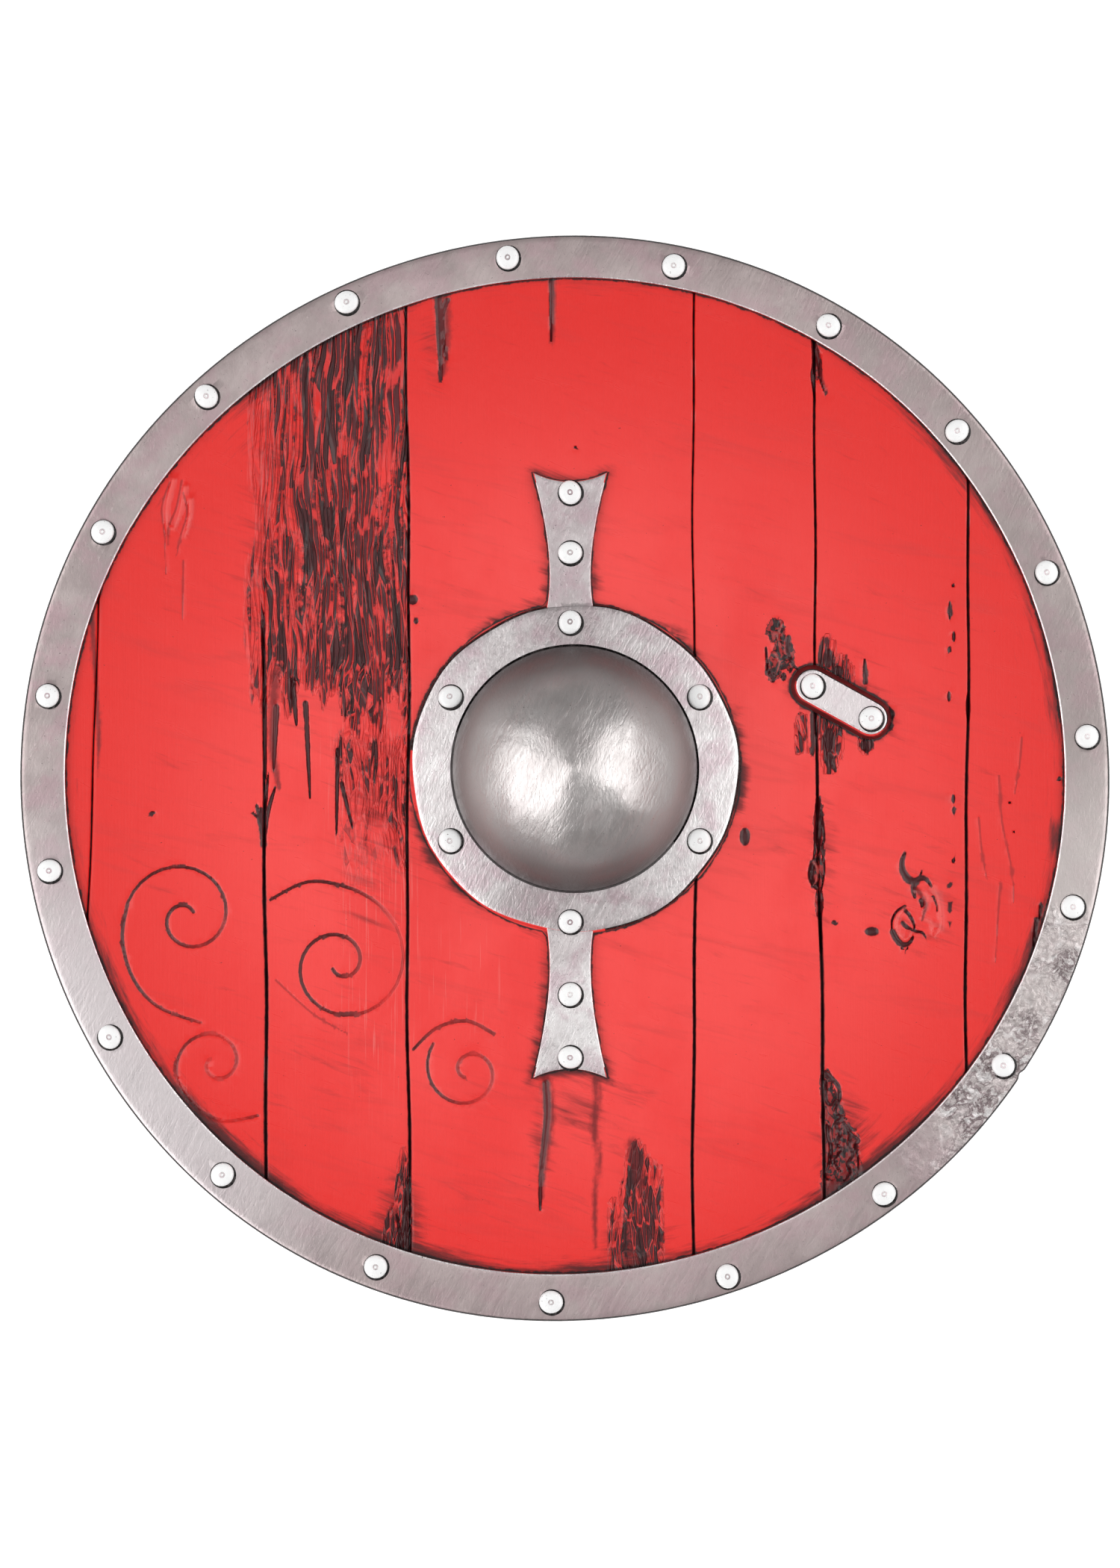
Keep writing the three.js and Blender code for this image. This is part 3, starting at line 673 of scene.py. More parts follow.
def round_corner(r, z, radius, start, end, steps):
    """Points on an arc round (r, z) between two angles in degrees."""
    angles = [math.radians(start + (end - start) * i / steps) for i in range(steps + 1)]
    return [(r + radius * math.cos(a), z + radius * math.sin(a)) for a in angles]


def spun(profile, steps):
    """A closed form turned about Z from (radius, height) points that start and end on the axis."""
    bm = bmesh.new()
    verts = [bm.verts.new((r, 0, z)) for r, z in profile]
    edges = [bm.edges.new(pair) for pair in zip(verts, verts[1:])]
    bmesh.ops.spin(bm, geom=verts + edges, axis=(0, 0, 1), cent=(0, 0, 0), angle=2 * math.pi,
                   steps=steps, use_merge=True)
    bmesh.ops.remove_doubles(bm, verts=bm.verts, dist=1e-4)
    bmesh.ops.recalc_face_normals(bm, faces=bm.faces)
    return bm


band_inner = FACE_RADIUS + BORE_EDGE_ROUND
band_outer = SHIELD_RADIUS - RIM_EDGE_ROUND
band_steps = 15
band = [(band_outer + (band_inner - band_outer) * s / band_steps, RIM_TOP) for s in range(1, band_steps)]
rim_profile = [(0, 0), (SHIELD_RADIUS - 12, 0)]
rim_profile += round_corner(band_outer, RIM_EDGE_ROUND, RIM_EDGE_ROUND, -90, 0, 4)
rim_profile += round_corner(band_outer, RIM_TOP - RIM_EDGE_ROUND, RIM_EDGE_ROUND, 0, 90, 5)
rim_profile += band
rim_profile += round_corner(band_inner, RIM_TOP - BORE_EDGE_ROUND, BORE_EDGE_ROUND, 90, 180, 3)
rim_profile += [(FACE_RADIUS, FACE_Z), (FACE_RADIUS, BOARD_TOP), (0, BOARD_TOP)]
rim = spun(rim_profile, RIM_STEPS)


def paint_faces(bm, choose):
    """Gives each face the slot chosen from its middle and its normal."""
    for face in bm.faces:
        face.material_index = choose(face.calc_center_median(), face.normal)


def rim_coat(centre, normal):
    """The plain back, the inked edge, the red of the planks, then the band, and its inner edge in brighter
    silver as a painted highlight.
    """
    if centre.z < 0.5:
        return BACK
    if centre.xy.length > SHIELD_RADIUS - 1.2 and centre.z > RIM_TOP - RIM_EDGE_ROUND:
        return PEN
    if centre.xy.length < FACE_RADIUS + 0.2:
        return RED
    return PLATE if centre.xy.length < band_inner + 0.1 else SILVER


paint_faces(rim, rim_coat)


def outline_wave(angle):
    """How far the hand-trimmed edge swings out of round."""
    return sum(high * np.cos(turns * angle - math.radians(peak)) for turns, high, peak in OUTLINE_WAVES)


def bore_offset(y, reach):
    """The bore of the band sits a little high, so the band is wider below."""
    return y + RIM_BORE_SHIFT * ease(reach, SHIELD_RADIUS, FACE_RADIUS)


def blister_cover(x, y):
    """Where the band is blistered, in patches."""
    degrees = np.degrees(np.arctan2(y, x))
    along = ease(degrees, BLISTER_FROM, BLISTER_FROM + 8) * ease(-degrees, -BLISTER_TO, 6 - BLISTER_TO)
    return along * (0.25 + 0.75 * ease(ruffle(x, y, 22, 22, 7.7), -0.3, 0.2))


places = np.array([v.co for v in rim.verts])
angle = np.arctan2(places[:, 1], places[:, 0])
crowd = math.radians((BLISTER_FROM + BLISTER_TO) / 2)
angle = angle - BLISTER_CROWDING * np.sin(angle - crowd)
reach = np.hypot(places[:, 0], places[:, 1])
reach = reach * (1 + outline_wave(angle) / SHIELD_RADIUS)
x, y = reach * np.cos(angle), reach * np.sin(angle)
across = (SHIELD_RADIUS - reach) / RIM_WIDTH
on_top = ease(places[:, 2], RIM_TOP - 0.6, RIM_TOP - 0.1)
lumps = np.abs(ruffle(x, y, 5, 5, 4.4)) + 0.5 * np.abs(ruffle(x, y, 2.4, 2.4, 9.1))
lift = 0.16 * ruffle(x, y, 18, 18, 3.3) + 0.35 * np.sin(math.pi * np.clip(across, 0, 1)) - 0.2
blisters = blister_cover(x, y) * (BLISTER_HEIGHT * lumps - BLISTER_SINK)
lift = lift + blisters * ease(across, 0.02, 0.2) * ease(-across, -1.0, -0.85)
nick = np.exp(-((np.degrees(angle) - NICK_ANGLE) / 0.4) ** 2) * ease(reach, SHIELD_RADIUS - 4, SHIELD_RADIUS)
for vert, px, py, pr, top, up, cut in zip(rim.verts, x, y, reach, on_top, lift, nick):
    back = 1 - NICK_DEPTH * cut / SHIELD_RADIUS
    vert.co = (px * back, bore_offset(py, pr) * back, vert.co.z + top * up)

# Silver brushed over red foam: streaky, stained pink where the red shows through, greyer in
# patches, and scuffed bright. One effect that the band, the plates, the boss and the nails share.
silver_brushing = bpy.data.node_groups.new("silver_brushing", "ShaderNodeTree")
for label, way, kind in (
    ("Bright", "INPUT", "Color"), ("Grey", "INPUT", "Color"), ("Pink", "INPUT", "Color"),
    ("Stain", "INPUT", "Float"),
    ("Color", "OUTPUT", "Color"), ("Roughness", "OUTPUT", "Float"), ("Height", "OUTPUT", "Float"),
):
    silver_brushing.interface.new_socket(label, in_out=way, socket_type="NodeSocket" + kind)
tree = silver_brushing
given = tree.nodes.new("NodeGroupInput").outputs
place = object_place(tree)
cloud = grain(place, (38, 38, 38), 4, 0.6)
tint = grain(place, (17, 17, 17), 4, 0.6)
stroke = grain(place, (3.0, 17, 9), 4, 0.6, 0.9, 28)
scuff = grain(place, (1.3, 4.5, 3), 3, 0.6, 0.4)
pore = grain(place, (1.1, 1.1, 1.1), 2, 0.5)
colour = blend(step(cloud, 0.35, 0.65), given["Grey"], given["Bright"])
stained = times(step(tint, 0.42, 0.66), given["Stain"])
colour = blend(stained, colour, given["Pink"])
colour = blend(step(stroke, 0.45, 0.75, 0.32), colour, given["Grey"])
colour = blend(step(scuff, 0.62, 0.70, 0.6), colour, given["Bright"])
colour = blend(step(pore, 0.70, 0.75, 0.8), colour, (0.10, 0.085, 0.085, 1))
dull = calc("SUBTRACT", plus(step(stroke, 0.3, 0.7, 0.14), 0.28), step(scuff, 0.64, 0.74, 0.08))
rise = plus(plus(times(stroke, 0.5), times(tint, 0.5)), times(scuff, 0.35))
given_back = tree.nodes.new("NodeGroupOutput").inputs
for label, value in (("Color", colour), ("Roughness", dull), ("Height", rise)):
    tree.links.new(value, given_back[label])


def silver_paint(name, bright, grey, pink, stain, relief, metallic):
    """A silver paint; gives back the material, its tree, its shader and the brushed silver."""
    paint, tree, shader = new_paint(name, Metallic=metallic, Specular_IOR_Level=0.5)
    coat = tree.nodes.new("ShaderNodeGroup")
    coat.node_tree = silver_brushing
    for label, value in (("Bright", bright), ("Grey", grey), ("Pink", pink), ("Stain", stain)):
        coat.inputs[label].default_value = value
    feed(shader, Base_Color=coat.outputs["Color"], Roughness=coat.outputs["Roughness"])
    bump(shader, coat.outputs["Height"], relief)
    return paint, tree, shader, coat.outputs


band_silver, tree, shader, coat = silver_paint(
    "band_silver", (0.52, 0.445, 0.435, 1), (0.39, 0.325, 0.32, 1), (0.50, 0.31, 0.355, 1),
    0.5, 0.0004, 0.65)
# It is painted paler at the top and the bottom and darker on the right, by axis and range, as painted light
# and shade, and has painted highlights round a place low on each side, by middle and range
BAND_PAINTED_SHADING = [
    ("Y", 0.05, 0.29, 0.2, (0.60, 0.475, 0.475, 1)),
    ("X", 0.08, 0.30, 0.4, (0.33, 0.285, 0.275, 1)),
    ("Y", -0.16, -0.29, 0.35, (0.64, 0.505, 0.51, 1)),
]
BAND_PAINTED_HIGHLIGHTS = [
    ((-0.245, -0.165, 0.02), 0.19, 0.04, 0.85, (0.74, 0.68, 0.69, 1)),
    ((0.268, -0.10, 0.02), 0.15, 0.05, 0.55, (0.74, 0.68, 0.66, 1)),
]
place = object_place(tree)
spot = axes(place)
colour = coat["Color"]
for axis, low, high, share, tone in BAND_PAINTED_SHADING:
    colour = blend(step(spot[axis], low, high, share), colour, tone)
for middle, low, high, share, tone in BAND_PAINTED_HIGHLIGHTS:
    colour = blend(step(away_from(place, middle), low, high, share), colour, tone)
# On the blisters the silver is painted paler, with brown painted shade in the crevices and painted highlights
# on the bumps
blister = field(tree, "blister")
crevice = grain(place, (7, 7, 7), 4, 0.6, 0.6)
colour = blend(times(blister, 0.5), colour, (0.72, 0.66, 0.66, 1))
crevice_shade = times(step(off_middle(crevice), 0.07, 0.01), blister)
colour = blend(times(crevice_shade, 0.75), colour, (0.18, 0.12, 0.13, 1))
bump_highlights = times(step(crevice, 0.52, 0.66, 0.85), blister)
feed(shader, Base_Color=blend(bump_highlights, colour, (0.88, 0.85, 0.85, 1)))
wrinkle = times(grain(place, (3.6, 3.6, 3.6), 4, 0.6, 0.8), blister)
relief = shader.inputs["Normal"].links[0].from_node.inputs["Height"]
tree.links.new(calc("MULTIPLY_ADD", wrinkle, 9.0, coat["Height"]), relief)

# Boss. A hollow dome, slightly pointed, on a round flange that climbs towards it: part of the
# casting, smoothed by hand and brushed with dark silver. The hand fits in the hollow behind.
BOSS = Vector((5.5, 5.4, 0))
FLANGE_RADIUS = 91.7
FLANGE_FOOT = FLANGE_RADIUS + 0.9
FLANGE_CROWN = 2.6
STRAP_TOP = FACE_Z + 3.4
BOSS_FOOT = STRAP_TOP + FLANGE_CROWN
BOSS_RADIUS = 68.4
BOSS_HEIGHT = 56.0
BOSS_POINT = 0.25
DOME_SWELL = 1.1
FOAM_WALL = 12.0
HOLLOW_RADIUS = 56.0
BOSS_STEPS = 168
PLATE_FOOT = 10.0


def dome_profile(foot, radius, height, steps):
    """A round dome, drawn up to a slight point."""
    points = []
    for number in range(steps + 1):
        angle = math.pi / 2 * number / steps
        share = (1 - BOSS_POINT) * math.sin(angle) + BOSS_POINT * (1 - math.cos(angle))
        points.append((radius * math.cos(angle), foot + height * share))
    return points


def plate_top(reach):
    """The height of the strap, or of the flange that climbs from it towards the boss."""
    climb = (FLANGE_RADIUS - reach) / (FLANGE_RADIUS - BOSS_RADIUS)
    return STRAP_TOP + FLANGE_CROWN * min(max(climb, 0), 1)


flange_steps = 9
flange_edge = FLANGE_RADIUS - 0.7
boss_profile = [(0, PLATE_FOOT), (FLANGE_FOOT, PLATE_FOOT), (FLANGE_FOOT, FACE_Z - 0.5)]
boss_profile += [(FLANGE_RADIUS + 0.4, STRAP_TOP - 1.2), (FLANGE_RADIUS, STRAP_TOP - 0.45)]
for number in range(flange_steps + 1):
    reach = flange_edge + (BOSS_RADIUS + 1.2 - flange_edge) * number / flange_steps
    boss_profile.append((reach, plate_top(reach)))
boss_profile.append((BOSS_RADIUS + 0.3, BOSS_FOOT - 0.7))
boss_profile += dome_profile(BOSS_FOOT, BOSS_RADIUS, BOSS_HEIGHT, 44)
boss = spun(boss_profile, BOSS_STEPS)


def boss_coat(centre, normal):
    """Dome and flange, each outlined with the pen where the red edge is not left bare."""
    reach = centre.xy.length
    if reach > FLANGE_RADIUS - 0.5 and normal.z < 0.9:
        return RED if centre.x < 0.2 * reach and centre.y < 0.1 * reach else PEN
    if reach > FLANGE_RADIUS - 1.6 and centre.y < -0.2 * reach and centre.x < -0.3 * reach:
        return RED
    drawn = BOSS_RADIUS + 1.0 if centre.y + 0.5 * centre.x > -0.2 * reach else BOSS_RADIUS + 0.4
    if BOSS_RADIUS - 0.2 < reach < drawn:
        return PEN
    return DOME if reach < BOSS_RADIUS else PLATE


paint_faces(boss, boss_coat)
places = np.array([v.co for v in boss.verts])
x, y, z = places.T
swell = np.array([noise.noise(Vector(p) / 30 + Vector((3, 8, 1))) for p in places])
swell = swell + 0.45 * np.array([noise.noise(Vector(p) / 12) for p in places])
reach = np.hypot(x, y)
on_dome = ease(-reach, -BOSS_RADIUS, -BOSS_RADIUS + 8)
at_edge = ease(reach, BOSS_RADIUS + 6, FLANGE_RADIUS)
wobble = 0.5 * np.sin(5 * np.arctan2(y, x) + 1) + 0.35 * np.sin(11 * np.arctan2(y, x))
for vert, lump, dome_share, edge_share, shift in zip(boss.verts, swell, on_dome, at_edge, wobble):
    vert.co += vert.normal * (DOME_SWELL * lump * dome_share)
    if vert.co.xy.length > 1:
        vert.co.xy += vert.co.xy.normalized() * (edge_share * shift)
bmesh.ops.translate(boss, verts=boss.verts, vec=BOSS)
plate_silver, tree, shader, coat = silver_paint(
    "plate_silver", (0.92, 0.885, 0.88, 1), (0.66, 0.60, 0.605, 1), (0.68, 0.52, 0.565, 1),
    0.75, 0.0007, 0.85)
# In line with the boss, but for the lower tail, the silver is painted darker and greyer as painted shade, and
# it is lighter and pinker on the patch plate at the right
spot = axes(object_place(tree))
in_line = step(off_middle(spot["X"], BOSS.x / 1000), 0.066, 0.020)
upper = step(spot["Y"], -0.118, -0.092)
shaded_in_line = add(tree, "Mix", {0: times(in_line, upper), 6: coat["Color"], 7: (0.82, 0.79, 0.795, 1)},
              data_type="RGBA", blend_type="MULTIPLY")
on_patch = step(spot["X"], 0.115, 0.125, 0.5)
feed(shader, Base_Color=blend(on_patch, shaded_in_line.outputs[2], (0.97, 0.89, 0.90, 1)))
dome_silver, tree, shader, coat = silver_paint(
    "dome_silver", (0.69, 0.655, 0.645, 1), (0.57, 0.53, 0.52, 1), (0.60, 0.53, 0.53, 1),
    0.3, 0.0007, 0.85)
# Low on the dome the silver is painted darker as painted shade, more so above and below the middle than on
# the left and right flanks and deepest at its foot, and it is less metallic there
spot = axes(object_place(tree))
height = spot["Z"]
shader.inputs["Specular IOR Level"].default_value = 0.25
flank = step(off_middle(spot["X"], BOSS.x / 1000), 0.022, 0.060)
dull = blend(flank, (0.150, 0.136, 0.134, 1), (0.30, 0.276, 0.27, 1))
low = calc("MULTIPLY_ADD", flank, 0.0045, height)
colour = blend(step(low, 0.074, 0.047), coat["Color"], dull)
colour = blend(step(height, 0.051, 0.027, 0.78), colour, (0.05, 0.042, 0.042, 1))
feed(shader, Base_Color=colour, Metallic=plus(step(height, 0.050, 0.066, 0.80), 0.08))

# Strap. Two arms of the boss plate, drawn in at the waist and cut to a fishtail at each end,
# standing up from the planks with red side walls.
STRAP_SHIFT = -2.6
STRAP_UP, STRAP_DOWN = 166.0, 173.5
STRAP_ROOT, STRAP_WAIST, STRAP_TIP = 13.9, 7.0, 21.0
TAIL_NOTCH = 5.2
strap_start = FLANGE_RADIUS - 6


def strap_half_width(along, length):
    """Half the strap's width: a curve from the root, drawn in to the waist and out to the tips."""
    waist_at = 0.42
    span = (along - strap_start) / (length - strap_start)
    lean = 1 - 2 * waist_at
    t = (-waist_at + np.sqrt(np.maximum(waist_at ** 2 + lean * span, 0))) / lean
    return (1 - t) ** 2 * STRAP_ROOT + 2 * t * (1 - t) * STRAP_WAIST + t * t * STRAP_TIP


def strap_end(across, length):
    """Where the concave end of a tail lies, across the strap."""
    return length - TAIL_NOTCH * (1 - (across / STRAP_TIP) ** 2)


def strap_arm(length, side):
    """One arm: a sheet of strips from the boss to the tail, walled down, its edge rounded."""
    arm = bmesh.new()
    bmesh.ops.create_grid(arm, x_segments=10, y_segments=30, size=1)
    for vert in arm.verts:
        share = (vert.co.y + 1) / 2
        middle = strap_start + share * (length - strap_start)
        across = vert.co.x * float(strap_half_width(middle, length))
        along = strap_start + share * (strap_end(across, length) - strap_start)
        vert.co = (across, along, STRAP_TOP)
    border = close_below(arm, PLATE_FOOT)
    bmesh.ops.bevel(arm, geom=border, offset=0.7, offset_type="OFFSET", segments=3, profile=0.5,
                    affect="EDGES", material=-1)

    def coat(centre, normal):
        bare_tip = abs(centre.x) > STRAP_TIP - 2.2 and centre.y > length - 5
        worn = 0.9 if side * centre.x < 0 or centre.y > length - TAIL_NOTCH - 1 else 0.25
        return PLATE if normal.z > worn and not bare_tip else RED

    paint_faces(arm, coat)
    if side < 0:
        bmesh.ops.rotate(arm, verts=arm.verts, cent=(0, 0, 0), matrix=Matrix.Rotation(math.pi, 3, "Z"))
    bmesh.ops.translate(arm, verts=arm.verts, vec=BOSS + Vector((STRAP_SHIFT, 0, 0)))
    return arm


arms = [strap_arm(STRAP_UP, 1), strap_arm(STRAP_DOWN, -1)]

# Patch plate. A small plate with round ends and sloping sides that bridges a joint, silver on top
# and dark red on its sides, outlined with black.
PATCH = Vector((154.8, 42.6, 0))
PATCH_TURN = math.radians(-29)
PATCH_NAIL_GAP = 37.5
PATCH_TOP = FACE_Z + 4.5
PATCH_RINGS = [(12.0, PLATE_FOOT), (12.0, FACE_Z - 0.4), (11.4, FACE_Z + 0.9), (10.4, FACE_Z + 2.6),
               (9.5, PATCH_TOP - 0.7), (8.9, PATCH_TOP - 0.15), (8.2, PATCH_TOP), (7.4, PATCH_TOP)]
patch = bmesh.new()
end_steps = 14
directions = []
for end in (1, -1):
    for s in range(end_steps + 1):
        a = math.pi * (s / end_steps - 0.5) + (0 if end > 0 else math.pi)
        directions.append((end, Vector((math.cos(a), math.sin(a), 0))))
crest = patch.faces.new([patch.verts.new((0, 0, 0)) for _ in directions])
for number, (radius, height) in enumerate(PATCH_RINGS):
    if number:
        crest = bmesh.ops.extrude_discrete_faces(patch, faces=[crest])["faces"][0]
    for vert, (end, direction) in zip(crest.verts, directions):
        vert.co = direction * radius + Vector((end * PATCH_NAIL_GAP / 2, 0, height))
bottom = [e for e in patch.edges if e.is_boundary]
bmesh.ops.holes_fill(patch, edges=bottom, sides=0)
bmesh.ops.recalc_face_normals(patch, faces=patch.faces)


def patch_coat(centre, normal):
    """Silver on top and red on the walls, with a pen line along the upper edge."""
    if centre.z > PATCH_TOP - 0.2:
        return PLATE
    return PEN if centre.z > PATCH_TOP - 0.8 and normal.y > -0.1 else RED


paint_faces(patch, patch_coat)
bmesh.ops.transform(patch, verts=patch.verts,
                    matrix=Matrix.Translation(PATCH) @ Matrix.Rotation(PATCH_TURN, 4, "Z"))

# Nail heads. Moulded domes with the stub of a casting sprue in the middle, bright silver, each
# ringed with a line of black ink at its foot, set off towards the lower right so it is wider there as a
# painted shadow.
NAIL_RADIUS = 6.5
NAIL_STEPS = 24
RIM_NAILS = 19
RIM_NAIL_CIRCLE = 293.0
RIM_NAIL_START, RIM_NAIL_DRIFT, RIM_NAIL_PEAK = 2.55, 2.2, -20.0
FLANGE_NAIL_CIRCLE = 80.4
STRAP_NAIL_SHARES = (0.493, 0.728, 0.931)
POOL_PROFILE = [(0, -3), (7.5, -3), (7.45, 0.1), (7.1, 0.3), (0, 0.3)]
# Each ring sits off towards the lower right, wider there as a painted shadow.
POOL_SHADOW_SHIFT = Matrix.Translation((0.4, -0.4, 0))
NAIL_PROFILE = [(0, -2), (NAIL_RADIUS, -2), (NAIL_RADIUS, 0.9), (6.3, 1.45), (5.7, 1.95), (4.4, 2.35),
                (2.6, 2.62), (1.65, 2.7), (1.35, 2.4), (0.95, 2.4), (0.75, 2.75), (0.45, 2.75), (0, 2.4)]
nail_places = []
for number in range(RIM_NAILS):
    even = math.radians(RIM_NAIL_START + 360 * number / RIM_NAILS)
    drift = math.radians(RIM_NAIL_DRIFT) * math.cos(even - math.radians(RIM_NAIL_PEAK))
    spot = Vector((math.cos(even + drift), math.sin(even + drift), 0)) * RIM_NAIL_CIRCLE
    nail_places.append(Matrix.Translation(spot + Vector((0, 0, RIM_TOP))))


def on_plate(offset):
    """A nail's place on the flange or the strap, tilted with the slope of the flange."""
    reach = offset.length
    height = Vector((0, 0, plate_top(reach)))
    slope = math.atan2(FLANGE_CROWN, FLANGE_RADIUS - BOSS_RADIUS) if reach < FLANGE_RADIUS else 0
    tilt = Matrix.Rotation(slope, 4, Vector((-offset.y, offset.x, 0)).normalized())
    return Matrix.Translation(BOSS + offset + height) @ tilt


for turn in (30, 150, 210, 330):
    spoke = Vector((math.cos(math.radians(turn)), math.sin(math.radians(turn)), 0))
    nail_places.append(on_plate(spoke * FLANGE_NAIL_CIRCLE))
for length in (STRAP_UP, -STRAP_DOWN):
    for share in STRAP_NAIL_SHARES:
        nail_places.append(on_plate(Vector((STRAP_SHIFT, share * length, 0))))
for end in (-0.5, 0.5):
    along = Vector((math.cos(PATCH_TURN), math.sin(PATCH_TURN), 0)) * PATCH_NAIL_GAP * end
    nail_places.append(Matrix.Translation(PATCH + along + Vector((0, 0, PATCH_TOP))))


def nail_coat(centre, normal):
    """Bright, but for the hollow round the stub."""
    return PLATE if centre.xy.length < 1.5 and centre.z < 2.6 else NAIL


def repeated(form, spots):
    """Copies of a form at each of the given places, in one mesh."""
    mesh = bpy.data.meshes.new("form")
    form.to_mesh(mesh)
    made = bmesh.new()
    for spot in spots:
        placed = mesh.copy()
        placed.transform(spot)
        made.from_mesh(placed)
        bpy.data.meshes.remove(placed)
    return made


nail = spun(NAIL_PROFILE, NAIL_STEPS)
paint_faces(nail, nail_coat)
pool = spun(POOL_PROFILE, NAIL_STEPS)
paint_faces(pool, lambda centre, normal: PEN)
pools_and_shadows = repeated(pool, [spot @ POOL_SHADOW_SHIFT for spot in nail_places])
hand_set = []
for number, spot in enumerate(nail_places):
    squeeze = 1 + 0.05 * math.sin(7 * number)
    oval = Matrix.Diagonal((squeeze, 2 - squeeze, 1, 1))
    hand_set.append(spot @ Matrix.Rotation(1.9 * number, 4, "Z") @ oval)
nails = repeated(nail, hand_set)
nail_silver, tree, shader, coat = silver_paint(
    "nail_silver", (0.98, 0.98, 0.975, 1), (0.95, 0.945, 0.945, 1), (0.96, 0.95, 0.95, 1),
    0.3, 0.0003, 0.06)
pen_black, tree, shader = new_paint("pen_black", Specular_IOR_Level=0.3)
thin = grain(object_place(tree), (2.5, 2.5, 2.5), 3)
colour = blend(step(thin, 0.5, 0.72), (0.012, 0.010, 0.010, 1), (0.08, 0.065, 0.065, 1))
feed(shader, Base_Color=colour, Roughness=step(thin, 0.3, 0.8, 0.7))

# Back. Plain: shallow joints, the hollow behind the boss and a pocket for the grip, in the same
# red, thinner and duller than on the face.
BACK_JOINT_DEPTH = 1.2
GRIP_LENGTH, GRIP_WIDTH, GRIP_LATH, GRIP_INSET, FIT_GAP = 156.0, 28.0, 11.2, 0.6, 0.4
hollow_profile = [(0, -2), (HOLLOW_RADIUS + 4.5, -2), (HOLLOW_RADIUS, 2.5)]
hollow_profile += dome_profile(BOSS_FOOT, HOLLOW_RADIUS, BOSS_HEIGHT - FOAM_WALL, 24)
hollow = spun(hollow_profile, 96)
bmesh.ops.translate(hollow, verts=hollow.verts, vec=BOSS)


def block(size, centre):
    """A box of the given size."""
    bm = bmesh.new()
    bmesh.ops.create_cube(bm, size=1)
    bmesh.ops.scale(bm, verts=bm.verts, vec=size)
    bmesh.ops.translate(bm, verts=bm.verts, vec=centre)
    return bm


pocket_depth = GRIP_INSET + GRIP_LATH + FIT_GAP
pocket = block((GRIP_LENGTH + 2 * FIT_GAP, GRIP_WIDTH + 2 * FIT_GAP, 2 * pocket_depth), BOSS)
back_joints = []
for x, lean in JOINTS:
    half = math.sqrt(FACE_RADIUS ** 2 - x ** 2) - 4
    wedge = block((1, 2 * half, 1), (0, 0, 0))
    for vert in wedge.verts:
        upper = vert.co.z > 0
        vert.co.x *= 0.2 if upper else 3.4
        vert.co.z = BACK_JOINT_DEPTH if upper else -0.4
    turn = Matrix.Translation((x, RIM_BORE_SHIFT, 0)) @ Matrix.Rotation(math.radians(lean), 4, "Z")
    bmesh.ops.transform(wedge, verts=wedge.verts, matrix=turn)
    back_joints.append(wedge)
for cutter in [hollow, pocket] + back_joints:
    paint_faces(cutter, lambda centre, normal: BACK)

back_red, tree, shader = new_paint("back_red", Specular_IOR_Level=0.3)
place = object_place(tree)
cloud = grain(place, (60, 120, 40), 5, 0.62)
blot = grain(place, (5, 6, 5), 5, 0.62)
strand = grain(place, (3.2, 80, 30), 3, 0.6, 0.2)
colour = blend(step(cloud, 0.3, 0.7), (0.30, 0.016, 0.015, 1), (0.46, 0.030, 0.027, 1))
colour = blend(step(strand, 0.55, 0.75, 0.45), colour, MAROON)
# Surfaces set up into the back, in the hollow and the grip pocket, are painted darker as painted shade.
inside = step(axes(place)["Z"], 0.0004, 0.0035, 0.8)
colour = blend(inside, colour, (0.16, 0.012, 0.012, 1))
colour = blend(step(blot, 0.66, 0.74, 0.6), colour, MAROON)
feed(shader, Base_Color=colour, Roughness=plus(step(cloud, 0.3, 0.7, 0.15), 0.48))
bump(shader, plus(blot, times(strand, 0.8)), 0.0006)

# The moulding. All of the forms above are one casting: they are fused, the hollows are cut, and
# the fields that place the paint are measured on the result.
FOAM_PAINTS = {RED: red_paint, SILVER: band_silver, PLATE: plate_silver, DOME: dome_silver,
               NAIL: nail_silver, PEN: pen_black, BACK: back_red}


def as_object(name, bm, paints):
    """Makes an object of a form, with its paints in the order of their slots."""
    mesh = bpy.data.meshes.new(name)
    bm.to_mesh(mesh)
    bm.free()
    for paint in paints:
        mesh.materials.append(paint)
    made = bpy.data.objects.new(name, mesh)
    bpy.context.scene.collection.objects.link(made)
    return made


def carve(body, form, operation):
    """Fuses a form with the body or cuts it out; the form's paints keep their slots."""
    tool = as_object("form", form, list(body.data.materials))
    change = body.modifiers.new("form", "BOOLEAN")
    change.operation = operation
    change.solver = "MANIFOLD"
    change.material_mode = "INDEX"
    change.object = tool
    graph = bpy.context.evaluated_depsgraph_get()
    result = bpy.data.meshes.new_from_object(body.evaluated_get(graph))
    body.modifiers.clear()
    body.data = result
    bpy.data.objects.remove(tool)


shield = as_object("moulded_shield_skin", planks, [FOAM_PAINTS[slot] for slot in sorted(FOAM_PAINTS)])
for form in (rim, boss, arms[0], arms[1], patch, pools_and_shadows, nails):
    carve(shield, form, "UNION")
for form in [hollow, pocket] + back_joints:
    carve(shield, form, "DIFFERENCE")

places = np.empty(3 * len(shield.data.vertices))
shield.data.vertices.foreach_get("co", places)
x, y, z = places.reshape(-1, 3).T


